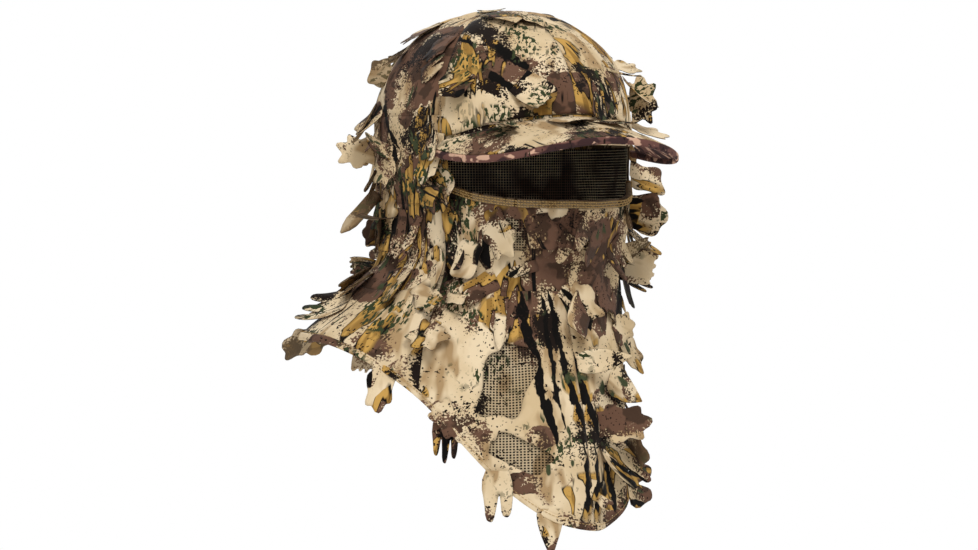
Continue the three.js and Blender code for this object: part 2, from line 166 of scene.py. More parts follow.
def hem_v(phi):
    turn = np.abs(np.mod(np.asarray(phi, float) + 540, 360) - 180)
    bib = np.cos(np.radians(np.minimum(turn / BIB_HALF_ANGLE, 1) * 90)) ** 2
    return HEM_SIDE_Z - BIB_DROP * bib


def window_v(phi):
    corner = np.abs(np.asarray(phi, float) / SIDE_SEAM) ** 3
    return WINDOW_FLOOR_Z + (WINDOW_CORNER_Z - WINDOW_FLOOR_Z) * corner


def arc_of(z):
    """The arc over the crown that reaches height z."""
    return CROWN_ARC / 90 * math.degrees(math.asin((z / CROWN_HEIGHT) ** (CROWN_POWER / 2)))


CROWN_SEAM = arc_of(CROWN_SEAM_Z)


def folds(phi, v, base, *waves):
    """Folds in the cloth: waves of a height, so many round the head, with a lean and a start."""
    lift = base
    for height, count, lean, start in waves:
        lift = lift + height * np.sin(count * np.radians(phi) + lean * v + start)
    return lift


def ripple(phi, v):
    """How far the cloth lifts off the form: puckers on the crown, upright folds below, deep at the hem."""
    drape = smooth(-v, 100, 190)
    mask = smooth(-v, 20, 80) * (1 - drape)
    crown = smooth(v, -10, 30)
    low = folds(phi, v, 1.2, (0.8, 11, 0.05, 0.6), (0.5, 5, -0.07, 1.1))
    upright = folds(phi, v, 2.0, (1.7, 13, 0.02, 0.9), (1.2, 21, -0.045, 2.0))
    hanging = folds(phi, v, 3.2, (2.6, 9, 0.012, 0.3), (1.8, 16, -0.02, 2.4))
    front = np.exp(-((np.mod(phi + 180, 360) - 180) / 45) ** 2)
    chin_crease = -3.0 * front * np.exp(-((v + 110) / 8) ** 2)
    rest = (1 - crown) * (1 - mask - drape)
    return low * crown + 0.8 * rest + upright * mask + hanging * drape + chin_crease


# ---- meshes ----
class Pieces:
    """Collects patches of mesh and joins them into one object."""

    def __init__(self):
        self.verts, self.faces, self.uvs, self.mats, self.count = [], [], [], [], 0

    def add(self, verts, faces, uvs, mat=0):
        verts = np.asarray(verts, float)
        self.verts.append(verts)
        self.uvs.append(np.asarray(uvs, float))
        start = self.count
        for face in faces:
            self.faces.append(tuple(int(i) + start for i in face))
        self.mats.extend([mat] * len(faces) if isinstance(mat, int) else mat)
        self.count += len(verts)

    def make(self, name, materials, smooth_shaded=True):
        mesh = bpy.data.meshes.new(name)
        mesh.from_pydata((np.concatenate(self.verts) * MM).tolist(), [], self.faces)
        layer = mesh.uv_layers.new(name="cloth")
        loops = np.empty(len(mesh.loops), np.int32)
        mesh.loops.foreach_get("vertex_index", loops)
        layer.data.foreach_set("uv", (np.concatenate(self.uvs)[loops] * MM).ravel().astype(np.float32))
        mesh.polygons.foreach_set("material_index", self.mats)
        mesh.polygons.foreach_set("use_smooth", [smooth_shaded] * len(mesh.polygons))
        for m in materials:
            mesh.materials.append(m)
        mesh.validate()
        obj = bpy.data.objects.new(name, mesh)
        bpy.context.scene.collection.objects.link(obj)
        return obj


def vertex_normals(verts, tris):
    a, b, c = (verts[tris[:, k]] for k in range(3))
    n = np.cross(b - a, c - a)
    out = np.zeros_like(verts)
    for k in range(3):
        np.add.at(out, tris[:, k], n)
    return unit(out)


def thickened(verts, tris, thick):
    """Both faces of a sheet and the walls along its edges: vertices, faces, and each face's material slot,
    which is 0 in front, 1 behind and 2 on a wall."""
    n = len(verts)
    back = verts - vertex_normals(verts, tris) * thick
    edges = dict.fromkeys(edge for a, b, c in tris.tolist() for edge in ((a, b), (b, c), (c, a)))
    walls = [(b, a, a + n, b + n) for a, b in edges if (b, a) not in edges]
    faces = tris.tolist() + (tris[:, ::-1] + n).tolist() + walls
    sides = [0] * len(tris) + [1] * len(tris) + [2] * len(walls)
    return np.concatenate([verts, back]), faces, sides


def inside(points, loop):
    """Which of the points lie inside a closed loop."""
    x, y = points[:, 0:1], points[:, 1:2]
    a, b = loop, np.roll(loop, -1, 0)
    crosses = (a[:, 1] > y) != (b[:, 1] > y)
    rise = np.where(b[:, 1] == a[:, 1], 1e-9, b[:, 1] - a[:, 1])
    return (np.sum(crosses & (x < (b[:, 0] - a[:, 0]) * (y - a[:, 1]) / rise + a[:, 0]), 1) % 2) == 1


def resampled(loop, spacing):
    """A closed loop with a point about every spacing."""
    loop = np.asarray(loop, float)
    out = []
    for a, b in zip(loop, np.roll(loop, -1, 0)):
        steps = max(1, round(np.linalg.norm(b - a) / spacing))
        out += [a + (b - a) * k / steps for k in range(steps)]
    return np.array(out)


def triangulated(outline, holes, spacing):
    """Triangles of a flat outline less its holes: points and an array of triangles, anticlockwise."""
    loops = [outline] + holes
    points, edges = [], []
    for loop in loops:
        base = len(points)
        points += [tuple(p) for p in loop]
        edges += [(base + i, base + (i + 1) % len(loop)) for i in range(len(loop))]
    border = np.array(points)
    low, high = border.min(0), border.max(0)
    rows = np.arange(low[1] + spacing / 2, high[1], spacing * 0.87)
    columns = np.arange(low[0], high[0], spacing)
    grid = [(x + (j % 2) * spacing / 2, y) for j, y in enumerate(rows) for x in columns]
    if grid:
        grid = np.array(grid)
        keep = inside(grid, outline)
        for hole in holes:
            keep &= ~inside(grid, hole)
        grid = grid[keep]
        near = np.array([np.min(np.sum((border - g) ** 2, 1)) for g in grid]) if len(grid) else np.zeros(0)
        points += [tuple(g) for g in grid[near > (0.55 * spacing) ** 2]]
    made = delaunay_2d_cdt([Vector(p) for p in points], edges, [], 0, 1e-4)
    verts = np.array([tuple(p) for p in made[0]])
    tris = np.array([f for f in made[2]], int)
    middle = verts[tris].mean(1)
    keep = inside(middle, outline)
    for hole in holes:
        keep &= ~inside(middle, hole)
    tris = tris[keep]
    a, b, c = (verts[tris[:, k]] for k in range(3))
    turn = (b[:, 0] - a[:, 0]) * (c[:, 1] - a[:, 1]) - (b[:, 1] - a[:, 1]) * (c[:, 0] - a[:, 0])
    tris[turn < 0] = tris[turn < 0][:, ::-1]
    used, index = np.unique(tris, return_inverse=True)
    return verts[used], index.reshape(tris.shape)


def grid_tris(columns, rows):
    """Triangles of a grid of points that is counted along its rows."""
    i, j = np.meshgrid(np.arange(columns - 1), np.arange(rows - 1))
    a = (j * columns + i).ravel()
    return np.concatenate([np.stack([a, a + 1, a + columns], 1),
                           np.stack([a + 1, a + columns + 1, a + columns], 1)])


# ---- leaf outlines, from the sewn edge at x 0 to the tip ----
def rounded(points):
    """Cuts the corners of an outline, apart from its sewn edge, which runs from the last to the first."""
    points = np.asarray(points, float)
    out = [points[0]]
    for a, b in zip(points[:-1], points[1:]):
        out += [a * 0.72 + b * 0.28, a * 0.28 + b * 0.72]
    return np.array(out + [points[-1]])


def two_sides(length, width, half_width, steps):
    """An outline from its half width (1 is half of width) at each share of its length, on sides 0 and 1."""
    left = [(t * length, half_width(t, 0) * width / 2) for t in np.linspace(0, 1, steps)]
    right = [(t * length, -half_width(t, 1) * width / 2) for t in np.linspace(1, 0, steps)]
    return left + right


def lobed(rng, length, width):
    """A blunt leaf with rounded lobes all round, cut straight along its sewn edge."""
    lobes, depth = rng.choice((4, 5, 6, 7)), rng.uniform(0.09, 0.19)
    phase, lean = rng.uniform(0, 6.28), rng.uniform(-0.2, 0.2)
    points = []
    for k in range(44):
        a = math.pi * (1 - 2 * (k + 0.5) / 44)
        r = (1 + depth * math.sin(lobes * a + phase) + 0.06 * math.sin(2 * a + 2 * phase)) / (1 + depth)
        x = 0.5 + 0.5 * r * math.copysign(abs(math.cos(a)) ** 0.8, math.cos(a))
        y = 0.5 * r * math.copysign(abs(math.sin(a)) ** 0.8, math.sin(a))
        points.append((max(x - 0.1, 0) / 0.9 * length, (y + lean * x * 0.5) * width))
    edge = [q for q in points if q[0] > 0]
    return [(0, edge[0][1])] + edge + [(0, edge[-1][1])]


def pointed(rng, length, width):
    peak = rng.uniform(0.5, 1.1)
    return two_sides(length, width, lambda t, side: math.sin(math.pi * (0.15 + 0.84 * t) ** peak) ** 0.9, 8)


def strap(rng, length, width):
    bend = rng.uniform(-0.5, 0.5) * width

    def half(t, side):
        body = min(1, 4 * (1 - t) + 0.15) * 0.9
        return body + (bend / width * 2 * t * t) * (1 if side == 0 else -1)

    return two_sides(length, width, half, 8)


def fingers(rng, length, width):
    count = rng.choice((2, 3))
    palm = length * rng.uniform(0.3, 0.45)
    each = width / count
    points = [(0, width * 0.36), (palm * 0.6, width * 0.5)]
    for i in range(count):
        high = width / 2 - i * each
        low = high - each * 0.74
        tip = length * rng.uniform(0.76, 1)
        points += [(palm + (tip - palm) * 0.5, high), (tip * 0.96, high - each * 0.14)]
        points.append((tip, (high + low) / 2))
        points += [(tip * 0.93, low + each * 0.08), (palm + (tip - palm) * 0.4, low)]
        if i < count - 1:
            points.append((palm, low - each * 0.12))
    return points + [(palm * 0.6, -width * 0.5), (0, -width * 0.36)]


def torn(rng, length, width):
    """A blunt leaf with a notched end."""
    points = [(0, width * 0.42), (length * 0.4, width * 0.5), (length * 0.86, width * 0.45)]
    notches = 3
    for i in range(notches):
        w = width * (0.36 - 0.72 * (i + 0.5) / notches)
        tip, notch = rng.uniform(0.92, 1), rng.uniform(0.76, 0.86)
        points += [(length * tip, w + width * 0.09), (length * notch, w - 0.07 * width)]
    return points + [(length * 0.88, -width * 0.46), (length * 0.4, -width * 0.5), (0, -width * 0.42)]


def twig(rng, length, width):
    """A bare twig, 3.2 mm thick at its foot."""
    return two_sides(length, 3.2, lambda t, side: 1 - 0.75 * t, 6)


LEAF_KINDS = {kind.__name__: kind for kind in (lobed, pointed, strap, fingers, torn, twig)}


def leaf_outline(rng, kind, length, width):
    points = LEAF_KINDS[kind](rng, length, width)
    return rounded(points) if kind in ("fingers", "torn") else np.asarray(points, float)


def bent_strip(length, lift, curl, steps=25):
    """How far along the cloth and how far off it a bent leaf's middle line is, at even steps from 0 to 1."""
    turn = np.radians(lift + curl * np.linspace(0, 1, steps))
    ways = []
    for part in (np.cos(turn), np.sin(turn)):
        ways.append(np.concatenate([[0], np.cumsum((part[1:] + part[:-1]) / 2)]) * length / (steps - 1))
    return np.linspace(0, 1, steps), *ways


def add_leaf(pieces, rng, outline, root, along, out, lift, curl, print_at, cup=0.0, twist=0.0,
             spacing=LEAF_MESH):
    """Bends a flat leaf up from the cloth. lift is its angle at the sewn edge, and curl what it gains by
    its tip. print_at is where it was cut from the printed cloth. False if it would leave the leaf room."""
    flat, tris = triangulated(resampled(outline, 2.6), [], spacing)
    along = unit(np.asarray(along, float))
    out = unit(np.asarray(out, float) - np.dot(out, along) * along)
    side = np.cross(out, along)
    length = flat[:, 0].max()
    half = max(np.abs(flat[:, 1]).max(), 1)
    steps, reach, height = bent_strip(length, lift, curl)
    t = np.clip(flat[:, 0] / length, 0, 1)
    a = np.radians(lift + curl * t)[:, None]
    leaf_out = np.cos(a) * out - np.sin(a) * along
    roll = np.radians(twist * t)[:, None]
    across = np.cos(roll) * side + np.sin(roll) * leaf_out
    w = flat[:, 1:2]
    verts = np.asarray(root, float) + np.interp(t, steps, reach)[:, None] * along
    verts = verts + np.interp(t, steps, height)[:, None] * out + w * across
    verts = verts + leaf_out * (cup * half * (w / half) ** 2)
    if (verts < ROOM[0]).any() or (verts > ROOM[1]).any():
        return False
    verts, faces, sides = thickened(verts, tris, LEAF_CLOTH)
    spin = rng.uniform(-0.5, 0.5)
    middle = np.array([print_at[0] + rng.uniform(-16, 16), print_at[1] + rng.uniform(-16, 16)])
    uv = turned(flat, math.degrees(spin)) + middle
    pieces.add(verts, faces, np.concatenate([uv, uv]), sides)
    return True


# ---- panels ----
def cloth_uv(phi, v):
    """The place on the printed cloth of points on the form."""
    return np.stack(np.broadcast_arrays(np.radians(phi) * CLOTH_RADIUS, v), -1)


class Panel:
    """A cloth panel: its place on the form, and a flat pattern (x, v) that is laid on it.
    radius turns its degrees into millimetres of pattern. A gore's pattern narrows towards the top."""

    def __init__(self, name, phi0, phi1, top, bottom, radius=CLOTH_RADIUS, gore=False, under=0.0):
        self.name, self.phi0, self.phi1 = name, phi0, phi1
        self.middle = (phi0 + phi1) / 2
        self.top, self.bottom = top, bottom
        self.radius, self.gore = radius, gore
        self.under = under  # how far it is tucked in behind its neighbours

    def scale(self, v):
        if not self.gore:
            return np.full(np.shape(v), self.radius)
        p = form(self.middle, np.minimum(v, CROWN_ARC - 2))
        return np.hypot(p[..., 0], p[..., 1])

    def phi_of(self, x, v):
        return self.middle + np.degrees(x / self.scale(v))

    def outline(self, spacing, gap=0.1):
        """The pattern's outline, drawn in by a small gap at the seams."""
        phis = np.linspace(self.phi0, self.phi1, max(4, int((self.phi1 - self.phi0) * 1.8 / spacing)))
        top, bottom = self.top(phis), self.bottom(phis)

        def flat(phi, v):
            return np.radians(phi - self.middle) * self.scale(v)

        low = [(flat(p, v), v) for p, v in zip(phis, bottom)]
        high = [] if self.gore else [(flat(p, v), v) for p, v in zip(phis[::-1], top[::-1])]
        ends = []
        for phi, v0, v1 in ((self.phi1, bottom[-1], top[-1]), (self.phi0, top[0], bottom[0])):
            vs = np.linspace(v0, v1, max(3, int(abs(v1 - v0) / spacing)))[1:-1]
            ends.append([(flat(phi, v), v) for v in vs])
        loop = np.array(low + ends[0] + high + ends[1], float)
        off = loop - loop.mean(0)
        return loop - np.sign(off) * np.minimum(gap, np.abs(off) * 0.2)

    def lift(self, x, v):
        """The ripple, less a little at the seams, where the stitches pull the cloth in."""
        phi = self.phi_of(x, v)
        reach = np.minimum(np.abs(phi - self.phi0), np.abs(self.phi1 - phi)) * np.radians(1) * self.scale(v)
        return ripple(phi, v) - self.under - 0.7 * np.exp(-((reach / 2.2) ** 2))

    def lay(self, flat):
        x, v = flat[:, 0], flat[:, 1]
        p, out, _, _ = frames(self.phi_of(x, v), v)
        return p + out * self.lift(x, v)[:, None]

    def print_of(self, flat):
        return flat + cloth_uv(self.middle, 0.0)


def scattered(rng, panel, apart, margin, taken, tries=2500):
    """Random places (x, v) on a panel, at least apart from each other and from those taken."""
    loop = panel.outline(6)
    low, high = loop.min(0), loop.max(0)
    kept = []
    for _ in range(tries):
        p = np.array([rng.uniform(low[0], high[0]), rng.uniform(low[1], high[1])])
        if not inside(p[None], loop)[0] or np.min(np.sum((loop - p) ** 2, 1)) < margin ** 2:
            continue
        if all(np.sum((p - q) ** 2) > apart ** 2 for q in kept + taken):
            kept.append(p)
    return kept


def turned(outline, angle):
    """A leaf outline in a panel's pattern, pointing angle degrees round from straight down."""
    a = math.radians(angle)
    outline = np.asarray(outline)
    x = outline[:, 0] * math.sin(a) + outline[:, 1] * math.cos(a)
    v = -outline[:, 0] * math.cos(a) + outline[:, 1] * math.sin(a)
    return np.stack([x, v], 1)


LEAF_MIX = ["lobed"] * 9 + ["pointed"] * 2 + ["fingers"] * 3 + ["torn"] * 3 + ["strap"] * 2
# The ranges that leaves are drawn from: millimetres, degrees, and slimness and cup as shares.
LOOSE = {"length": (26, 46), "slimness": (0.6, 0.95), "strap_width": (7, 11), "lift": (2, 14),
         "curl": (-8, 34), "cup": (-0.14, 0.14), "twist": (-16, 16)}
CUT = {"turn": (-60, 60), "length": (26, 38), "width": (18, 28), "lift": (70, 120), "curl": (0, 60),
       "cup": (-0.15, 0.15), "twist": (-20, 20)}
LOOSE_TURN, CUT_UPWARD, CUT_EDGE_ROOM, CUT_ROOM, LOOSE_ROOM, PLACED_CURL = 48, 0.3, 3, 18, 4, 22


def drawn(rng, ranges, *names):
    return [rng.uniform(*ranges[name]) for name in names]


def leaf_at(panel, pieces, rng, spot, angle, outline, lift, curl, raise_by=0.8, **more):
    """Sews a leaf to the panel at a spot, pointing angle degrees round from straight down. Near the top of
    the crown it lies flat, and where it would stand out too far it is bent less."""
    v = spot[1]
    p, out, round_, down = (f[0] for f in frames(np.array([panel.phi_of(*spot)]), np.array([v])))
    root = p + out * (float(panel.lift(np.array([spot[0]]), np.array([v]))[0]) + raise_by)
    a = math.radians(angle)
    along = math.cos(a) * down + math.sin(a) * round_
    if v > FLAT_ABOVE:
        lift, curl = 3, -12
    print_at = panel.print_of(spot)
    for share in (1, 0.5, 0.1):
        if add_leaf(pieces, rng, outline, root, along, out, lift * share, curl * share, print_at, **more):
            return


def in_patches(spot, patches):
    return any(math.hypot((spot[0] - c[0]) / r[0], (spot[1] - c[1]) / r[1]) < 1 for c, r in patches)


def add_seam_allowance(cloth, panel, half_width=4.0, depth=1.35, rows=40, columns=5):
    """A strip along a gore's left seam that runs on under its neighbour, so that the seam is closed."""
    foot, top = (edge(np.array([panel.phi1]))[0] for edge in (panel.bottom, panel.top))
    x, v = np.meshgrid(np.linspace(-half_width, half_width, columns), np.linspace(foot + 1, top, rows))
    phi, v = (panel.phi1 + np.degrees(x / panel.scale(v))).ravel(), v.ravel()
    p, out, _, _ = frames(phi, v)
    strip = p + out * (ripple(phi, v) - depth)[:, None]
    verts, faces, sides = thickened(strip, grid_tris(columns, rows), SEAM_CLOTH)
    uv = cloth_uv(phi, v)
    cloth.add(verts, faces, np.concatenate([uv, uv]), sides)


def cut_leaves(panel, leaves, rng, outline, apart):
    """Cuts leaves in a panel and folds them out. The windows are cut first, and their leaves hang elsewhere.
    Returns the holes and their middles."""
    holes, middles = [], []

    def cut(middle, angle, length, width, kind):
        """The root and the outline of the leaf, or None if its hole would meet the edge or another hole."""
        shape = leaf_outline(rng, kind, length, width)
        root = middle - turned(np.array([[length / 2, 0]]), angle)[0]
        hole = resampled(turned(shape, angle) + root, 2.2)
        off_edge = math.sqrt(min(np.min(np.sum((outline - h) ** 2, 1)) for h in hole))
        if not inside(hole, outline).all() or off_edge < CUT_EDGE_ROOM:
            return None
        if any(inside(hole, other).any() or inside(other, hole).any() for other in holes):
            return None
        holes.append(hole)
        middles.append(middle)
        return root, shape

    for x, v, angle, length, width in WINDOWS.get(panel.name, ()):
        cut(np.array([x, v], float), angle, length, width, "lobed")
    for middle in scattered(rng, panel, apart, CUT_ROOM, list(middles)) if apart else []:
        angle = drawn(rng, CUT, "turn")[0] + (180 if rng.random() < CUT_UPWARD else 0)
        made = cut(middle, angle, *drawn(rng, CUT, "length", "width"), rng.choice(("lobed", "torn")))
        if made:
            root, shape = made
            lift, curl, cup, twist = drawn(rng, CUT, "lift", "curl", "cup", "twist")
            leaf_at(panel, leaves, rng, root, angle, shape, lift, curl, raise_by=0.2, cup=cup, twist=twist)
    return holes, middles


def dress(panel, seed, cuts_apart, leaves_apart, spacing=PANEL_MESH):
    """Cuts leaves in a panel and sews more between them. Returns the cloth and the leaves."""
    rng = random.Random(seed)
    leaves = Pieces()
    outline = panel.outline(spacing)
    holes, taken = cut_leaves(panel, leaves, rng, outline, cuts_apart)
    for x, v, angle, kind, length, width, lift in PLACED.get(panel.name, ()):
        taken.append(np.array([x, v], float))
        shape = leaf_outline(rng, kind, length, width)
        leaf_at(panel, leaves, rng, taken[-1], angle, shape, lift, PLACED_CURL, cup=0.1)
    for spot in scattered(rng, panel, leaves_apart, LOOSE_ROOM, taken):
        in_hole = any(inside(spot[None], hole)[0] for hole in holes)
        if in_hole or in_patches(panel.print_of(spot), CALM + BARE):
            continue
        kind = rng.choice(LEAF_MIX)
        length, = drawn(rng, LOOSE, "length")
        share, = drawn(rng, LOOSE, "strap_width" if kind == "strap" else "slimness")
        angle = rng.gauss(0, LOOSE_TURN)
        lift, curl, cup, twist = drawn(rng, LOOSE, "lift", "curl", "cup", "twist")
        shape = leaf_outline(rng, kind, length, share if kind == "strap" else share * length)
        leaf_at(panel, leaves, rng, spot, angle, shape, lift, curl, cup=cup, twist=twist)
    flat, tris = triangulated(outline, holes, spacing)
    verts, faces, sides = thickened(panel.lay(flat), tris, PANEL_CLOTH)
    uv = panel.print_of(flat)
    cloth = Pieces()
    cloth.add(verts, faces, np.concatenate([uv, uv]), sides)
    if panel.gore:
        add_seam_allowance(cloth, panel)
    return cloth, leaves


def flat_size(panel):
    """The width and length of the smallest upright rectangle round a panel's pattern, in metres."""
    return tuple(np.ptp(panel.outline(5), axis=0) * MM)


# ---- materials ----
def srgb(*rgb):
    return tuple(((c / 255 + 0.055) / 1.055) ** 2.4 if c > 10 else c / 255 / 12.92 for c in rgb) + (1.0,)


PALE, TAN, SAND = srgb(226, 205, 170), srgb(203, 178, 138), srgb(168, 139, 100)
BROWN, UMBER, BARK, BLACK = srgb(102, 74, 58), srgb(70, 51, 39), srgb(27, 18, 13), srgb(9, 6, 4)
GOLD, OCHRE = srgb(192, 150, 78), srgb(148, 112, 54)
MOSS, LEAF_GREEN = srgb(52, 60, 36), srgb(64, 70, 46)
# The colour of cut edges is painted shade: a dark outline round each leaf and panel.
CUT_EDGE_SHADE = srgb(58, 45, 34)
PLUM, PLUM_DARK, PLUM_PALE = srgb(104, 70, 62), srgb(58, 38, 38), srgb(204, 164, 138)


# Where the print is calm, dusky or gold: the middle and half-size of each patch on the printed cloth, as arc
# round from the face, and height or arc over the crown. A dusky patch also has its depth.
CALM = [
    ((-88, -186), (32, 38)), ((628, 92), (28, 34)), ((28, 90), (34, 34)), ((584, 12), (30, 20)),
    ((-86, -76), (9, 17)), ((-44, -236), (22, 14)), ((300, -120), (90, 40)), ((528, -168), (34, 26)),
]
DUSKY = [
    ((6, -94), (34, 36), 1), ((502, 58), (44, 48), 2), ((656, 30), (16, 20), 1.6), ((4, 32), (20, 20), 1.6),
    ((484, 0), (24, 24), 1), ((-20, -284), (14, 18), 1), ((30, -140), (16, 26), 1), ((-68, -92), (9, 18), 1),
    ((496, -124), (44, 14), 1), ((-34, -282), (22, 9), 1), ((-96, -228), (22, 12), 1),
    ((-26, -246), (12, 10), 1), ((6, -312), (34, 9), 1), ((22, -226), (16, 20), 1),
]
GILDED = [
    ((572, 52), (20, 26)), ((545, -84), (20, 34)), ((-108, -92), (14, 34)), ((-50, -134), (12, 30)),
    ((14, -286), (28, 34)), ((549, -16), (14, 28)), ((-50, -68), (14, 12)),
]
# Long bark marks: where each starts, where it ends, and its width.
MARKS = [
    ((-38, -122), (-13, -256), 9), ((-19, -122), (-7, -242), 6), ((-11, -122), (14, -250), 8),
    ((545, 106), (580, 78), 14), ((601, 82), (624, 50), 10), ((596, 50), (624, 26), 11),
    ((472, 24), (502, -14), 9), ((8, -260), (4, -308), 6), ((22, -262), (26, -308), 6),
]
# Where no loose leaf is sewn, besides the calm patches: the bib's bark marks, its tip and its lower opening,
# and a fold over the shoulder.
BARE = [((-12, -192), (32, 64)), ((0, -304), (40, 22)), ((-46, -256), (42, 36)), ((548, -168), (36, 40))]


class Shader:
    """Builds a material's nodes. Every texture works in millimetres of cloth."""

    def __init__(self, name):
        self.material = bpy.data.materials.new(name)
        self.material.use_nodes = True
        self.tree = self.material.node_tree
        self.bsdf = next(n for n in self.tree.nodes if n.type == "BSDF_PRINCIPLED")
        uv = self.node("ShaderNodeUVMap")
        uv.uv_map = "cloth"
        self.cloth = self.scaled(uv.outputs[0], (1000, 1000, 1000))

    def node(self, kind, **settings):
        made = self.tree.nodes.new(kind)
        for key, value in settings.items():
            setattr(made, key, value)
        return made

    def link(self, source, socket):
        if isinstance(source, bpy.types.NodeSocket):
            self.tree.links.new(source, socket)
        else:
            socket.default_value = source

    def scaled(self, vector, scale, shift=(0, 0, 0)):
        made = self.node("ShaderNodeMapping")
        self.link(vector, made.inputs["Vector"])
        made.inputs["Scale"].default_value = scale
        made.inputs["Location"].default_value = shift
        return made.outputs[0]

    def noise(self, size, seed=0.0, detail=2.0, rough=0.5, warp=0.0):
        """Noise with features of size millimetres across and up."""
        wide, tall = size if isinstance(size, tuple) else (size, size)
        made = self.node("ShaderNodeTexNoise")
        at = self.scaled(self.cloth, (1 / wide, 1 / tall, 1), (seed, seed * 1.7, seed * 0.3))
        settings = {"Vector": at, "Scale": 1, "Detail": detail, "Roughness": rough, "Distortion": warp}
        for socket, value in settings.items():
            self.link(value, made.inputs[socket])
        return made.outputs["Fac"]

    def math(self, what, a, b=0.0):
        made = self.node("ShaderNodeMath", operation=what)
        self.link(a, made.inputs[0])
        self.link(b, made.inputs[1])
        return made.outputs[0]

    def plus(self, a, b):
        return self.math("ADD", a, b)

    def minus(self, a, b):
        return self.math("SUBTRACT", a, b)

    def times(self, a, b):
        return self.math("MULTIPLY", a, b)

    def ramp(self, value, low, high):
        """0 at low, 1 at high, and even in between."""
        made = self.node("ShaderNodeMapRange")
        self.link(value, made.inputs[0])
        made.inputs[1].default_value, made.inputs[2].default_value = low, high
        return made.outputs[0]

    def above(self, value, threshold, soft=0.012):
        return self.ramp(value, threshold - soft, threshold + soft)

    def patch(self, centre, size):
        """1 inside an oval patch of the cloth, 0 outside, with a soft and uneven rim."""
        shift = (-centre[0] / size[0], -centre[1] / size[1], 0)
        made = self.node("ShaderNodeVectorMath", operation="LENGTH")
        self.link(self.scaled(self.cloth, (1 / size[0], 1 / size[1], 0), shift), made.inputs[0])
        uneven = self.times(self.noise(20, 15.0), 0.8)
        return self.above(self.minus(1.4, self.plus(made.outputs["Value"], uneven)), 0, 0.05)

    def mark(self, top, foot, width):
        """1 inside a long bark mark, which bends to its foot, tapers at both ends and has ragged sides."""
        split = self.node("ShaderNodeSeparateXYZ")
        self.link(self.cloth, split.inputs[0])
        run = self.ramp(split.outputs[1], top[1], foot[1])
        bend = self.times(self.math("POWER", run, 1.5), foot[0] - top[0])
        wander = self.times(self.minus(self.noise(28, 93.0, 1), 0.5), 12.0)
        middle = self.plus(self.plus(bend, wander), top[0])
        off = self.math("ABSOLUTE", self.minus(split.outputs[0], middle))
        ends = self.times(self.times(run, self.minus(1.0, run)), 7.0)
        ragged = self.times(self.minus(self.noise((5, 12), 96.0, 2, 0.6), 0.5), width * 1.5)
        half = self.times(self.math("MINIMUM", ends, 1.0), self.plus(ragged, width / 2))
        return self.above(self.minus(half, off), 0.4, 0.3)

    def patches(self, placed, value):
        """The value, or a patch's depth where that is more."""
        for centre, size, *depth in placed:
            patch = self.times(self.patch(centre, size), depth[0] if depth else 1)
            value = self.math("MAXIMUM", value, patch)
        return value

    def mix(self, share, a, b):
        made = self.node("ShaderNodeMix", data_type="RGBA")
        self.link(share, made.inputs[0])
        self.link(a, made.inputs[6])
        self.link(b, made.inputs[7])
        return made.outputs[2]

    def weave(self, height, pitch, strength=0.35, crumple=0.8):
        """Bump from the cloth's threads and from its small creases."""
        bumps = []
        for direction in ("X", "Y"):
            wave = self.node("ShaderNodeTexWave", bands_direction=direction)
            self.link(self.scaled(self.cloth, (1 / pitch, 1 / pitch, 1)), wave.inputs["Vector"])
            wave.inputs["Scale"].default_value = 0.5
            bumps.append(wave.outputs["Fac"])
        threads = self.plus(*bumps)
        fine = self.bump(threads, strength, height)
        creased = self.bump(self.noise(15, 5.0, 3), crumple, 1.6, fine)
        self.link(creased, self.bsdf.inputs["Normal"])

    def bump(self, texture, strength, height, under=None):
        """A texture that lifts the surface by up to height millimetres, on top of the bump under it."""
        made = self.node("ShaderNodeBump")
        made.inputs["Strength"].default_value = strength
        made.inputs["Distance"].default_value = height * MM
        self.link(texture, made.inputs["Height"])
        if under is not None:
            self.link(under, made.inputs["Normal"])
        return made.outputs[0]

    def finish(self, colour, rough, spread=0.08, sheen=0.03):
        self.link(colour, self.bsdf.inputs["Base Color"])
        mottled = self.math("MULTIPLY_ADD", self.noise(6), spread)
        mottled.node.inputs[2].default_value = rough - spread / 2
        self.link(mottled, self.bsdf.inputs["Roughness"])
        self.bsdf.inputs["Sheen Weight"].default_value = sheen
        self.bsdf.inputs["Sheen Roughness"].default_value = 0.5
        self.bsdf.inputs["Specular IOR Level"].default_value = 0.12
        return self.material


def camo_regions(s, placed):
    """How much less busy, dusky and gold the print is from place to place, and how deep its dusk is."""
    calm = s.above(s.noise(78, 70.0, 0.5), 0.56, 0.04)
    depth, dusky, gilded = 0.0, 0.0, 0.0
    if placed:
        depth, gilded = s.patches(DUSKY, 0.0), s.patches(GILDED, 0.0)
        dusky = s.math("MINIMUM", depth, 1.0)
        calm = s.times(s.patches(CALM, calm), s.minus(1.0, s.math("MAXIMUM", dusky, gilded)))
    return s.times(calm, -0.12), depth, dusky, gilded


def sandy_ground(s):
    ground = s.mix(s.above(s.noise(42, 1.0), 0.5, 0.12), PALE, TAN)
    return s.mix(s.above(s.noise((16, 40), 2.0), 0.6, 0.05), ground, SAND)


def broken(s, grain, size, seed, specked, busy):
    """A blotch's depth, roughened so that its rim breaks into specks, and less where the print is calm."""
    rim = s.plus(s.times(grain[0], specked), s.times(grain[1], specked * 0.7))
    return s.plus(s.plus(s.noise(size, seed, 2.5), rim), busy)


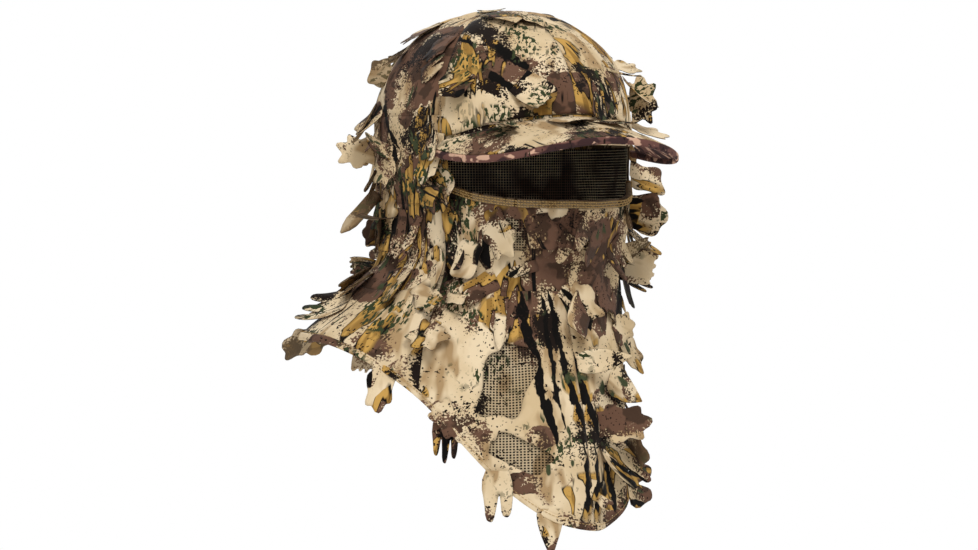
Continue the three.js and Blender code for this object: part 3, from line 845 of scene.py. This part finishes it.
def gold_strokes(s, colour, busy, dusky, gilded):
    """Gold strokes with dark edges, in clumps."""
    clumps = s.plus(s.plus(s.noise(54, 21.0, 1), busy), s.times(gilded, 0.12))
    clumps = s.above(s.minus(clumps, s.times(dusky, 0.12)), 0.525, 0.015)
    strokes = s.noise((10, 32), 24.0, 1.5, 0.5, 0.4)
    colour = s.mix(s.times(clumps, s.above(strokes, 0.49)), colour, BLACK)
    gold = s.mix(s.above(s.noise((6, 34), 27.0, 1), 0.52, 0.05), GOLD, OCHRE)
    return s.mix(s.times(clumps, s.above(strokes, 0.53)), colour, gold)


def bark_marks(s, colour, busy, dusky, placed):
    """Upright bark marks, in clumps, and the long ones that have a place of their own."""
    grove = s.plus(s.noise(74, 41.0, 1), s.minus(busy, s.times(dusky, 0.07)))
    marks = s.noise((7, 80), 44.0, 2.5, 0.55, 0.3)
    colour = s.mix(s.times(s.above(grove, 0.51, 0.02), s.above(marks, 0.59)), colour, BLACK)
    for top, foot, width in MARKS if placed else []:
        colour = s.mix(s.mark(top, foot, width), colour, BLACK)
    return colour


def greenery(s, colour, busy, dusky):
    """Green leaves and small green sprigs."""
    green = s.above(s.plus(s.noise(40, 55.0, 1), busy), 0.53, 0.02)
    colour = s.mix(s.times(green, s.above(s.noise((9, 24), 57.0, 1.5), 0.65)), colour, LEAF_GREEN)
    sprigs = s.above(s.minus(s.noise(34, 51.0, 1), s.times(dusky, 0.2)), 0.60, 0.02)
    return s.mix(s.times(sprigs, s.above(s.noise((2.2, 4.2), 52.0, 1), 0.52)), colour, MOSS)


def camo(s, darkness=0.0, placed=False):
    """The printed pattern: sand ground, brown blotches that break up into specks, gold strokes, bark, sprigs.
    placed adds what lies at one place on the hood: calm, dusky and gold patches, and long bark marks."""
    busy, depth, dusky, gilded = camo_regions(s, placed)
    grain = s.minus(s.noise(1.7, 3.0, 1.5, 0.6), 0.5), s.minus(s.noise(4.6, 8.0, 2, 0.6), 0.5)
    brown = s.mix(s.above(s.noise(14, 6.0), 0.54, 0.03), BROWN, UMBER)
    blotches = s.plus(broken(s, grain, (52, 64), 11.0, 0.30, busy), s.times(depth, 0.11))
    colour = s.mix(s.above(blotches, 0.52), sandy_ground(s), brown)
    colour = gold_strokes(s, colour, busy, dusky, gilded)
    dark_ground = s.minus(broken(s, grain, (44, 60), 31.0, 0.26, busy), s.times(dusky, 0.07))
    colour = s.mix(s.above(dark_ground, 0.56), colour, BARK)
    colour = bark_marks(s, colour, busy, dusky, placed)
    colour = greenery(s, colour, busy, dusky)
    splatter = s.above(s.noise(2.4, 62.0, 1), 0.65)
    colour = s.mix(s.times(s.above(s.noise(26, 61.0, 1), 0.51, 0.05), splatter), colour, BARK)
    return s.mix(darkness, colour, BLACK)


def printed_cloth():
    s = Shader("printed_cloth")
    s.weave(0.06, 0.55)
    return s.finish(camo(s, placed=True), 0.86)


def cloth_reverse():
    s = Shader("cloth_reverse")
    s.weave(0.06, 0.55)
    ghost = s.mix(0.5, camo(s), srgb(128, 106, 78))
    return s.finish(ghost, 0.9)


def mesh_lining():
    s = Shader("mesh_net")
    # The print is mixed a third of the way to black: painted shade, as the net lies over the dark hollow of
    # the hood.
    return s.finish(camo(s, 0.32), 0.85, sheen=0.05)


def mesh_behind():
    """The lining at the sides and back, which is seen from inside through the eye opening. Its colour is
    painted light and shade: the print mixed most of the way to near-white, in broad patches of brown.
    """
    s = Shader("mesh_net_behind")
    lit = s.mix(0.9, camo(s), srgb(255, 240, 200))
    return s.finish(s.mix(s.above(s.noise(38, 12.0), 0.42, 0.08), BROWN, lit), 0.85, sheen=0.2)


def hem_cloth():
    s = Shader("hem_cloth")
    s.weave(0.08, 0.6)
    return s.finish(s.mix(0.55, camo(s, 0.5), srgb(84, 62, 38)), 0.86)


def under_brim():
    s = Shader("under_brim_cloth")
    s.weave(0.06, 0.6)
    colour = s.mix(s.above(s.noise((22, 14), 3.0), 0.5, 0.02), PLUM, PLUM_DARK)
    colour = s.mix(s.above(s.noise((13, 9), 7.0), 0.57, 0.02), colour, PLUM_PALE)
    colour = s.mix(s.above(s.noise((4, 10), 9.0, 1), 0.68, 0.02), colour, BARK)
    return s.finish(colour, 0.85)


def two_tone(name, size, one, other, rough, weave=None, sheen=0.03, seed=0.0, detail=2.0):
    """A plain material that drifts between two close colours over size millimetres."""
    s = Shader(name)
    if weave:
        s.weave(*weave)
    return s.finish(s.mix(s.noise(size, seed, detail), one, other), rough, sheen=sheen)


CAMO = printed_cloth()
REVERSE = cloth_reverse()
# The walls along cut edges are painted dark, as the shade that outlines each leaf.
EDGE_SHADE = two_tone("cloth_cut_edge_shade", 4, CUT_EDGE_SHADE, UMBER, 0.9)
NET = mesh_lining()
NET_BEHIND = mesh_behind()
# The floors of the net's holes are painted shade: dark sheets where the hollow behind the net would show.
HOLE_SHADE = two_tone("mesh_net_hole_shade", 5, srgb(24, 19, 15), srgb(38, 31, 24), 0.95, sheen=0.0)
HEM = hem_cloth()
THREAD = two_tone("stitch_thread", 3, srgb(152, 118, 68), srgb(206, 174, 116), 0.7, seed=2.0, detail=1)
UNDER = under_brim()
BAND = two_tone("sweatband_knit", 3, srgb(44, 38, 32), srgb(66, 58, 48), 0.95, (0.2, 1.1, 0.6))
BOARD = two_tone("board_plastic", 4, srgb(34, 34, 34), srgb(48, 48, 46), 0.5, sheen=0.0)
LEAFY = [CAMO, REVERSE, EDGE_SHADE]  # the front, the back and the cut edges of printed cloth


def place(obj, where, nodes=()):
    """Rides a piece on a body, or, for the bib or brim, bakes its place into its mesh; then hides the CAD
    nodes given.
    """
    if where == "bib":
        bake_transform(obj)
    elif where == "brim":
        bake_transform(obj)
    else:
        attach(obj, where)
    if nodes:
        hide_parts(*nodes)
    return obj


# ---- the cloth panels and their leaves ----
def level(v):
    return lambda phi: np.full(np.shape(phi), float(v))


# Openings that leave the mesh lining bare: x and v in the panel's pattern, angle, length, width.
WINDOWS = {
    "bib_right": [(2, -203, -14, 64, 46), (13, -260, 64, 52, 25)],
    "mask_right": [(6, -84, 20, 30, 26)],
}

# Leaves that stand out on the hood: x, v, angle, kind, length, width, lift.
PLACED = {
    "temple_right": [(54, 0, -8, "lobed", 44, 26, 8), (40, 4, 30, "lobed", 36, 26, 8)],
    "temple_left": [(-50, 6, 20, "lobed", 34, 32, 62), (-51, -32, 70, "lobed", 36, 30, 58)],
    "cheek_left": [(-50, -76, 20, "lobed", 38, 30, 52), (-48, -110, 40, "fingers", 38, 28, 46)],
    "mask_left": [(30, -100, 10, "lobed", 46, 30, 8), (44, -70, 30, "fingers", 40, 28, 12)],
    "crown_front_left": [(-10, 52, 70, "twig", 36, 4, 6), (38, 44, 20, "lobed", 32, 30, 14),
                         (-30, 26, -40, "lobed", 34, 26, 6)],
    "crown_front_right": [(12, 40, 50, "torn", 36, 28, 4), (-30, 50, -30, "lobed", 34, 28, 6)],
    "crown_side_left": [(-44, 28, 20, "lobed", 28, 28, 52), (-40, 58, 40, "lobed", 26, 22, 40)],
    "bib_left": [(30, -165, 50, "lobed", 44, 32, 14), (-34, -246, 30, "fingers", 60, 36, 8)],
}


def mask_top(phi):
    """The top of the mask's cloth, tucked under the hem of the eye opening."""
    return window_v(phi) - 5


def brim_top(phi):
    """The height of the brim's upper side where it meets the band, which the crown's front panels reach."""
    return brim_fall(HEAD_HALF_WIDTH * np.sin(np.radians(phi)), BRIM["root_z"], BRIM["root_fall"]) + 3


def panel_plan():
    """Each panel with the body it rides, how far apart leaves are cut from it (0 for none) and how far apart
    loose leaves are sewn to it. Leaves are cut only where a mesh lining is under the cloth."""
    crown_top, seam, ear, chin = (level(v) for v in (CROWN_ARC - 0.3, CROWN_SEAM, EAR_Z, CHIN_Z))
    right = 360 - BACK_SEAM, 360 - SIDE_SEAM
    left = SIDE_SEAM, BACK_SEAM
    around = ("front_left", "side_left", "back_left", "back_right", "side_right", "front_right")
    gores = []
    for i, where in enumerate(around):
        foot, apart = (brim_top, 62) if "front" in where else (seam, 42)
        gore = Panel(f"crown_{where}", 60 * i, 60 * i + 60, crown_top, foot, gore=True)
        gores.append((gore, "hood", 0, apart))
    return gores + [
        (Panel("mask_right", -SIDE_SEAM, 0, mask_top, chin), "hood", 60, 27),
        (Panel("mask_left", 0, SIDE_SEAM, mask_top, chin), "hood", 60, 28),
        (Panel("temple_left", *left, seam, ear), "hood", 60, 27),
        (Panel("temple_right", *right, seam, ear), "hood", 60, 26),
        (Panel("cheek_left", *left, ear, chin), "hood", 60, 27),
        (Panel("cheek_right", *right, ear, chin), "hood", 60, 26),
        (Panel("back_left", BACK_SEAM, 180, seam, chin), "hood", 60, 29),
        (Panel("back_right", 180, 360 - BACK_SEAM, seam, chin), "hood", 60, 29),
        (Panel("shoulder_left", *left, chin, hem_v), "hood", 0, 28),
        (Panel("shoulder_right", *right, chin, hem_v, 140), "hood", 0, 31),
        (Panel("nape_left", BACK_SEAM, 180, chin, hem_v), "hood", 0, 28),
        (Panel("nape_right", 180, 360 - BACK_SEAM, chin, hem_v, 120), "hood", 0, 28),
        (Panel("bib_right", -SIDE_SEAM, 0, chin, hem_v, 125), "bib", 0, 44),
        (Panel("bib_left", 0, SIDE_SEAM, chin, hem_v), "bib", 0, 32),
    ]


def build_panels():
    for seed, (panel, where, cuts_apart, leaves_apart) in enumerate(panel_plan()):
        cloth, leaves = dress(panel, 100 + seed, cuts_apart, leaves_apart)
        shown = cloth.make(f"{panel.name}_cloth", LEAFY)
        place(shown, where, [f"{panel.name}_panel"])
        joined = leaves.make(f"{panel.name}_leaves", LEAFY)
        place(joined, where)
        size = flat_size(panel)


def build_brow_band():
    brow = Panel("brow", -SIDE_SEAM, SIDE_SEAM, level(CROWN_SEAM), level(BROW_Z), under=1.4)
    cloth, _ = dress(brow, 7, 0, 500)
    shown = place(cloth.make("brow_band_cloth", LEAFY), "hood", ["brow_band"])
    flat_size(brow)


# ---- mesh lining: a net of real strands ----
def net(phi0, phi1, top, bottom, inset, sunk=0.4):
    """A net on the form, inset inside the outer cloth, with square holes sunk between its strands, each
    floored by a dark sheet that is painted shade of the hollow behind the net.
    """
    low = float(np.min(bottom(np.linspace(phi0, phi1, 40))))
    high = float(np.max(top(np.linspace(phi0, phi1, 40))))
    step = math.degrees(NET_PITCH / CLOTH_RADIUS)
    phi0, phi1 = phi0 - step / 2, phi1 + step / 2
    across, up = np.arange(round((phi1 - phi0) / step)), np.arange(round((high - low) / NET_PITCH))
    xs = np.sort(np.concatenate([across * step, across * step + NET_STRAND / NET_PITCH * step]))
    vs = np.sort(np.concatenate([up * NET_PITCH, up * NET_PITCH + NET_STRAND]))
    phi, v = np.meshgrid(phi0 + xs, high - vs)
    columns, rows = phi.shape[1], phi.shape[0]
    phi, v = phi.ravel(), v.ravel()
    p, out, _, _ = frames(phi, v)
    verts, uv = p + out * (ripple(phi, v) - inset)[:, None], cloth_uv(phi, v)
    i, j = (index.ravel() for index in np.meshgrid(np.arange(columns - 1), np.arange(rows - 1)))
    corner = j * columns + i
    squares = np.stack([corner, corner + columns, corner + columns + 1, corner + 1], 1)
    keep = (v[corner] < top(phi[corner]) - 0.5) & (v[corner] > bottom(phi[corner]) + 1.5)
    hole = (i % 2 == 1) & (j % 2 == 1)
    strands, floors = squares[keep & ~hole], squares[keep & hole]
    used, index = np.unique(strands, return_inverse=True)
    made = Pieces()
    made.add(verts[used], index.reshape(strands.shape), uv[used])
    sunk_verts = (verts - out * sunk)[floors]
    middle = sunk_verts.mean(1, keepdims=True)
    # Each hole's floor, a dark sheet of painted shade, runs on under the strands.
    sunk_verts = (middle + (sunk_verts - middle) * 1.4).reshape(-1, 3)
    made.add(sunk_verts, np.arange(len(sunk_verts)).reshape(-1, 4), uv[floors.ravel()], 1)
    return made


def build_lining():
    chin, band = level(CHIN_Z), level(-CROWN_HEIGHT * 0.1)
    plan = [
        ("mask", -SIDE_SEAM, SIDE_SEAM, mask_top, chin, "hood"),
        ("side_left", SIDE_SEAM, BACK_SEAM, band, chin, "hood"),
        ("side_right", 360 - BACK_SEAM, 360 - SIDE_SEAM, band, chin, "hood"),
        ("back_left", BACK_SEAM, 180, band, chin, "hood"),
        ("back_right", 180, 360 - BACK_SEAM, band, chin, "hood"),
        ("bib", -SIDE_SEAM, SIDE_SEAM, chin, hem_v, "bib"),
    ]
    for name, phi0, phi1, top, bottom, where in plan:
        in_front = name in ("mask", "bib")
        made = net(phi0, phi1, top, bottom, 2.2 if in_front else 2.6)
        # The net in front is painted darker and the net behind lighter: painted shade and painted light
        # inside the hood.
        materials = [NET if in_front else NET_BEHIND, HOLE_SHADE]
        shown = made.make(f"{name}_mesh_liner_net", materials, smooth_shaded=False)
        place(shown, where, [f"{name}_mesh_liner"])


# ---- swept bands, hems and stitches ----
def swept(points, outs, ups, section, closed=False):
    """A band along a line of points: section holds [out, up] offsets, anticlockwise."""
    section = np.asarray(section, float)
    verts = points[:, None] + section[None, :, :1] * outs[:, None] + section[None, :, 1:] * ups[:, None]
    count, n = verts.shape[:2]
    faces = []
    for i in range(count if closed else count - 1):
        j = (i + 1) % count
        faces += [(i * n + k, j * n + k, j * n + (k + 1) % n, i * n + (k + 1) % n) for k in range(n)]
    if not closed:
        faces += [tuple(range(n)), tuple((count - 1) * n + k for k in reversed(range(n)))]
    run = np.concatenate([[0], np.cumsum(np.linalg.norm(np.diff(points, axis=0), axis=1))])
    girth = np.concatenate([[0], np.cumsum(np.linalg.norm(np.diff(section, axis=0), axis=1))])
    uv = np.stack(np.broadcast_arrays(run[:, None], girth[None, :]), -1).reshape(-1, 2)
    return verts.reshape(-1, 3), faces, uv


def rounded_section(out0, out1, up0, up1, radius, corner_steps=3):
    """A rectangle with rounded corners, anticlockwise."""
    points = []
    corners = [(out1 - radius, up0 + radius, -90), (out1 - radius, up1 - radius, 0),
               (out0 + radius, up1 - radius, 90), (out0 + radius, up0 + radius, 180)]
    for x, y, start in corners:
        for k in range(corner_steps + 1):
            a = math.radians(start + 90 * k / corner_steps)
            points.append((x + radius * math.cos(a), y + radius * math.sin(a)))
    return points


def add_thread(pieces, points, outs, sides, thick):
    """A thread of thick millimetres along a line of points."""
    angles = np.linspace(0, 2 * math.pi, 6)[:-1]
    section = [(math.cos(a) * thick / 2, math.sin(a) * thick / 2) for a in angles]
    pieces.add(*swept(points, outs, sides, section))


def add_stitches(pieces, points, outs, length=2.2, gap=1.0, thick=0.45, rise=0.25):
    """A row of stitches along a line of points, each a short bent thread."""
    run = np.concatenate([[0], np.cumsum(np.linalg.norm(np.diff(points, axis=0), axis=1))])

    def at(where, data):
        return np.stack([np.interp(where, run, data[:, k]) for k in range(3)], -1)

    share = np.linspace(0, 1, 4)
    hump = rise * np.sin(share * math.pi) + 0.02
    for start in np.arange(gap, run[-1] - length, length + gap):
        where = start + share * length
        p, out = at(where, points), unit(at(where, outs))
        side = np.cross(unit(np.gradient(p, axis=0)), out)
        add_thread(pieces, p + out * hump[:, None], out, side, thick)


def edge_line(phi0, phi1, v_of, step=1.5, lift=0.0, down=0.0):
    """Points, outward and upward directions along an edge of the cloth, and their degrees round the head."""
    phis = np.arange(phi0, phi1 + step / 2, step)
    v = v_of(phis) - down
    p, out, _, way_down = frames(phis, v)
    return p + out * (ripple(phis, v) + lift)[:, None], out, -way_down, phis


def build_eye_hem():
    """The cover-stitched hem under the eye opening: a folded band, rows of stitches, and a zigzag thread."""
    points, outs, ups, _ = edge_line(-SIDE_SEAM, SIDE_SEAM, window_v)
    body = Pieces()
    body.add(*swept(points, outs, ups, rounded_section(-3.4, 1.3, -6.4, 0.4, 1.6)))
    place(body.make("eye_hem_fold", [HEM]), "hood", ["eye_hem"])
    rows = Pieces()
    face = points + outs * 1.35
    for down in (0.9, 3.0, 5.1):
        add_stitches(rows, face - ups * down, outs, length=1.8, gap=0.7, thick=0.95)
    turns = np.arange(1, len(points) - 1)
    zigzag = face[turns] - ups[turns] * np.where(turns % 2, 1.4, 4.6)[:, None] + outs[turns] * 0.1
    sides = np.cross(unit(np.gradient(zigzag, axis=0)), outs[turns])
    add_thread(rows, zigzag, outs[turns], sides, 0.5)
    place(rows.make("eye_hem_stitches", [THREAD]), "hood")


def build_lower_hem(name, phi0, phi1, where, height=6.5, stitched_at=4.6):
    """A hem along the foot of the drape or the bib, with one row of stitches."""
    points, outs, ups, phis = edge_line(phi0, phi1, hem_v)
    section = np.array(rounded_section(-1.8, 0.9, 0, height, 1.2))
    verts, faces, _ = swept(points, outs, ups, section)
    hem, row = Pieces(), Pieces()
    hem.add(verts, faces, cloth_uv(phis[:, None], hem_v(phis)[:, None] + section[:, 1]).reshape(-1, 2))
    place(hem.make(f"{name}_fold", [CAMO]), where, [name])
    line, out, _, _ = edge_line(phi0, phi1, hem_v, lift=0.9, down=-stitched_at)
    add_stitches(row, line, out)
    place(row.make(f"{name}_stitches", [THREAD]), where)


def build_hems():
    build_eye_hem()
    build_lower_hem("bib_hem", -SIDE_SEAM, SIDE_SEAM, "bib")
    build_lower_hem("shoulder_right_hem", -BACK_SEAM, -SIDE_SEAM, "hood")
    build_lower_hem("shoulder_left_hem", SIDE_SEAM, BACK_SEAM, "hood")
    build_lower_hem("nape_hem", BACK_SEAM, 360 - BACK_SEAM, "hood")


def build_sweatband():
    phis = np.arange(0, 360, 4)
    points, outs, _, _ = frames(phis, np.full(len(phis), 2.0))
    outs = unit(outs * [1, 1, 0])
    ups = np.tile([0.0, 0.0, 1.0], (len(phis), 1))
    band = Pieces()
    band.add(*swept(points, outs, ups, rounded_section(-4.4, -2.8, -10, 10, 0.7), closed=True))
    place(band.make("sweatband_knit", [BAND]), "hood", ["sweatband"])


# ---- brim ----
# The brim runs from its root at the band to its edge. Both fall away to the sides, and the edge's ends lift.
BRIM = {"root_angle": 62, "half_width": 97, "end_y": -46, "depth": 134, "power": 2.8, "root_z": 10,
        "root_fall": 22, "edge_z": -7, "edge_fall": 22, "fall_power": 2, "end_lift": 14}
BRIM_PRINT_X = 300  # where along the printed cloth the brim is cut

# Leaves over the brim's seam: x, y, turn from straight ahead, kind, length, width.
BRIM_LEAVES = [
    (-62, -100, -24, "lobed", 34, 30), (-18, -120, 12, "torn", 34, 32),
    (30, -118, -10, "lobed", 36, 34), (4, -132, 40, "strap", 36, 9),
]


def brim_fall(x, top, drop):
    return top - drop * np.abs(x / BRIM["half_width"]) ** BRIM["fall_power"]


def brim_root(s):
    a = np.radians(s * BRIM["root_angle"])
    gap = 1.2 + 2 * s * s
    x = (HEAD_HALF_WIDTH + gap) * np.sin(a)
    y = -(HEAD_HALF_LENGTH + gap) * np.cos(a)
    return np.stack([x, y, brim_fall(x, BRIM["root_z"], BRIM["root_fall"])], -1)


def brim_edge(s):
    b = np.radians(s * 90)
    x = BRIM["half_width"] * np.sign(s) * np.abs(np.sin(b)) ** (2 / BRIM["power"])
    reach = np.maximum(np.cos(b), 0) ** (2 / BRIM["power"])
    z = brim_fall(x, BRIM["edge_z"], BRIM["edge_fall"]) + BRIM["end_lift"] * (1 - reach) ** 1.5
    return np.stack([x, BRIM["end_y"] - BRIM["depth"] * reach, z], -1)


def brim_sheet(above, reach0=-0.02, inset=1.2, columns=90, rows=18):
    """A cover of the brim, above its middle or below it, from the band out to inset inside the edge."""
    s, t = np.meshgrid(np.linspace(-0.99, 0.99, columns), np.linspace(0, 1, rows))
    root, edge = brim_root(s), brim_edge(s)
    width = np.linalg.norm(edge - root, axis=-1, keepdims=True)
    t = reach0 + t[..., None] * (1 - inset / np.maximum(width, inset + 1) - reach0)
    p = root + (edge - root) * t
    soft = 0.5 * np.sin(p[..., 0] / 7 + 1) * np.sin(p[..., 1] / 9) + 0.4 * np.sin(p[..., 0] / 17)
    p[..., 2] += above + soft * np.sin(np.pi * t[..., 0]) * np.sign(above)
    verts, tris = p.reshape(-1, 3), grid_tris(columns, rows)
    if vertex_normals(verts, tris)[:, 2].mean() * np.sign(above) < 0:
        tris = tris[:, ::-1]
    made, faces, _ = thickened(verts, tris, BRIM_CLOTH)
    pieces = Pieces()
    pieces.add(made, faces, np.concatenate([verts[:, :2], verts[:, :2]]) + [BRIM_PRINT_X, 0])
    return pieces


def build_brim_edge():
    """The binding round the brim's edge, with a row of stitches inside it."""
    edge = brim_edge(np.linspace(-1, 1, 160))
    ups = np.tile([0.0, 0.0, 1.0], (len(edge), 1))
    outs = unit(np.cross(unit(np.gradient(edge, axis=0)), ups))
    if outs[len(edge) // 2, 1] > 0:
        outs = -outs
    binding, rows = Pieces(), Pieces()
    binding.add(*swept(edge, outs, ups, rounded_section(-3.6, 0.6, -3.4, 2.6, 1.7)))
    place(binding.make("brim_edge_fold", [UNDER]), "brim", ["brim_edge_binding"])
    line = edge - outs * 5.0 + ups * 3.2
    add_stitches(rows, line[6:-6], ups[6:-6])
    place(rows.make("brim_stitches", [THREAD]), "brim")


def build_brim_leaves():
    rng = random.Random(77)
    flaps = Pieces()
    for x, y, turn, kind, length, width in BRIM_LEAVES:
        root = [x, y, brim_fall(x, BRIM["root_z"], BRIM["root_fall"]) + 4.5 - 0.2 * (-110 - y)]
        heading = [math.sin(math.radians(turn)), -math.cos(math.radians(turn)), -0.2]
        outline = leaf_outline(rng, kind, length, width)
        print_at = (x + BRIM_PRINT_X, y)
        add_leaf(flaps, rng, outline, root, heading, [0, -0.25, 1], 4, 8, print_at, cup=-0.12)
    place(flaps.make("brim_leaves", LEAFY), "brim")


def build_brim():
    top = brim_sheet(2.6).make("brim_top_cloth", [CAMO])
    under = brim_sheet(-2.2).make("brim_under_cloth", [UNDER])
    place(top, "brim", ["brim_top_cover"])
    place(under, "brim", ["brim_under_cover"])
    build_brim_edge()
    build_brim_leaves()


def paint_hidden_nodes():
    """The CAD solids that stay: the board inside the brim and the elastic inside the eye hem."""
    for node, material in (("brim_board", BOARD), ("eye_hem_elastic", BAND)):
        materials = frame["nodes"][node].data.materials
        materials.clear()
        materials.append(material)


# ---- the large leaves that are CAD bodies ----
# Each one's kind, curl, cup and the place on the cloth that its print comes from.
LARGE_LEAVES = {
    "leaf_temple_right": ("lobed", 10, 0.15, (300, -96)),
    "leaf_ear_strap_right": ("strap", 30, 0.2, (20, -110)),
    "leaf_jaw_right": ("lobed", 14, 0.1, (24, -90)),
    "leaf_crown_right": ("lobed", 12, 0.2, (515, 62)),
    "leaf_crown_left": ("lobed", -12, 0.12, (632, 100)),
    "leaf_cheek_left_upper": ("lobed", 18, 0.12, (14, -286)),
    "leaf_cheek_left_lower": ("torn", 16, 0.12, (-64, -70)),
    "leaf_bib_left_point": ("pointed", 12, 0.2, (-84, -185)),
    "leaf_bib_left_lobed": ("lobed", 16, 0.15, (26, -130)),
    "leaf_shoulder_right_hem": ("lobed", 22, 0.15, (-64, -92)),
    "leaf_bib_hem_outer": ("fingers", 18, 0.1, (-50, -134)),
    "leaf_bib_hem_fingers": ("fingers", 14, 0.1, (-96, -176)),
    "leaf_bib_hem_single": ("pointed", 20, 0.15, (-104, -206)),
    "leaf_nape_left": ("lobed", 16, 0.15, (250, -60)),
    "leaf_nape_right": ("torn", 16, 0.15, (420, -60)),
}


def leaf_axes(root, away):
    """Along a CAD leaf from its root, and out from the head, from its corners less its root."""
    out = np.linalg.svd(away - away.mean(0))[2][2]
    along = unit(away.mean(0) - out * np.dot(out, away.mean(0)))
    return along, -out if np.dot(out, root * [1, 1, 0]) < 0 else out


def build_large_leaves():
    hinges = {j["child"]: j for j in frame["joints"]}
    for seed, (name, (kind, curl, cup, print_at)) in enumerate(LARGE_LEAVES.items()):
        rng = random.Random(500 + seed)
        root = np.array(hinges[name]["pos_m"]) / MM
        away = np.array([v.co for v in frame["nodes"][name].data.vertices]) / MM - root
        along, out = leaf_axes(root, away)
        tuck = 0 if "hem" in name or "nape" in name else 3
        length = (away @ along).max() + tuck
        width = np.ptp(away @ np.cross(out, along))
        leaf = Pieces()
        outline = leaf_outline(rng, kind, length, width)
        add_leaf(leaf, rng, outline, root - tuck * along, along, out, -curl * 0.25, curl, print_at,
                 cup=cup, twist=rng.uniform(-14, 14), spacing=LARGE_LEAF_MESH)
        shown = place(leaf.make(f"{name}_cloth", LEAFY), name, [name])


# ---- the studio, in metres ----
AIM = (0, 0, -0.1)
# Each light's place, size and power.
LIGHTS = {
    "key": ((-0.6, -2.0, 2.3), 1.2, 67),
    "fill": ((-2.2, -1.1, 0.8), 1.8, 20),
    "side": ((2.1, -0.6, 0.9), 1.6, 16),
    "rim": ((0.6, 2.2, 1.6), 1.4, 34),
}
# The camera stands in front, turned to the wearer's right. view_width is what it sees at the head.
CAMERA = {"azimuth": -30, "distance": 6.0, "view_width": 0.802, "shift_right": -0.0115, "height": -0.115}


def add_object(name, data, location, aim=None):
    obj = bpy.data.objects.new(name, data)
    bpy.context.scene.collection.objects.link(obj)
    obj.location = location
    if aim is not None:
        obj.rotation_euler = (Vector(aim) - Vector(location)).to_track_quat("-Z", "Y").to_euler()
    return obj


def build_camera():
    turn = math.radians(CAMERA["azimuth"])
    right = Vector((math.cos(turn), math.sin(turn), 0))
    back = Vector((math.sin(turn), -math.cos(turn), 0))
    aim = right * CAMERA["shift_right"] + Vector((0, 0, CAMERA["height"]))
    camera = bpy.data.cameras.new("camera")
    camera.sensor_width = 36
    camera.lens = camera.sensor_width * CAMERA["distance"] / CAMERA["view_width"]
    bpy.context.scene.camera = add_object("camera", camera, aim + back * CAMERA["distance"], aim)


def build_lights():
    for name, (at, size, power) in LIGHTS.items():
        light = bpy.data.lights.new(name, "AREA")
        light.shape, light.size, light.energy = "SQUARE", size, power
        add_object(name, light, at, AIM)


def build_world(glow_on_hood=0.2, glow_in_view=1.0):
    """A white world, which the camera sees brighter than the hood does."""
    world = bpy.data.worlds.new("studio")
    world.use_nodes = True
    nodes, links = world.node_tree.nodes, world.node_tree.links
    path = nodes.new("ShaderNodeLightPath")
    glow = nodes.new("ShaderNodeMapRange")
    glow.inputs[3].default_value, glow.inputs[4].default_value = glow_on_hood, glow_in_view
    links.new(path.outputs["Is Camera Ray"], glow.inputs[0])
    links.new(glow.outputs[0], nodes["Background"].inputs[1])
    nodes["Background"].inputs[0].default_value = (1, 1, 1, 1)
    bpy.context.scene.world = world


def build_floor(half=8, z=-1.3):
    mesh = bpy.data.meshes.new("floor")
    corners = [(-half, -half, z), (half, -half, z), (half, half, z), (-half, half, z)]
    mesh.from_pydata(corners, [], [(0, 1, 2, 3)])
    paint = bpy.data.materials.new("floor_paint")
    paint.use_nodes = True
    settings = {"Base Color": (0.9, 0.9, 0.9, 1), "Roughness": 0.9, "Emission Color": (1, 1, 1, 1),
                "Emission Strength": 0.4}
    for socket, value in settings.items():
        paint.node_tree.nodes["Principled BSDF"].inputs[socket].default_value = value
    mesh.materials.append(paint)
    add_object("floor", mesh, (0, 0, 0))


def build_studio():
    build_camera()
    build_world()
    build_lights()
    build_floor()
    bpy.context.scene.view_settings.view_transform = "Standard"


build_studio()
build_panels()
build_brow_band()
build_lining()
build_hems()
build_sweatband()
build_brim()
paint_hidden_nodes()
build_large_leaves()
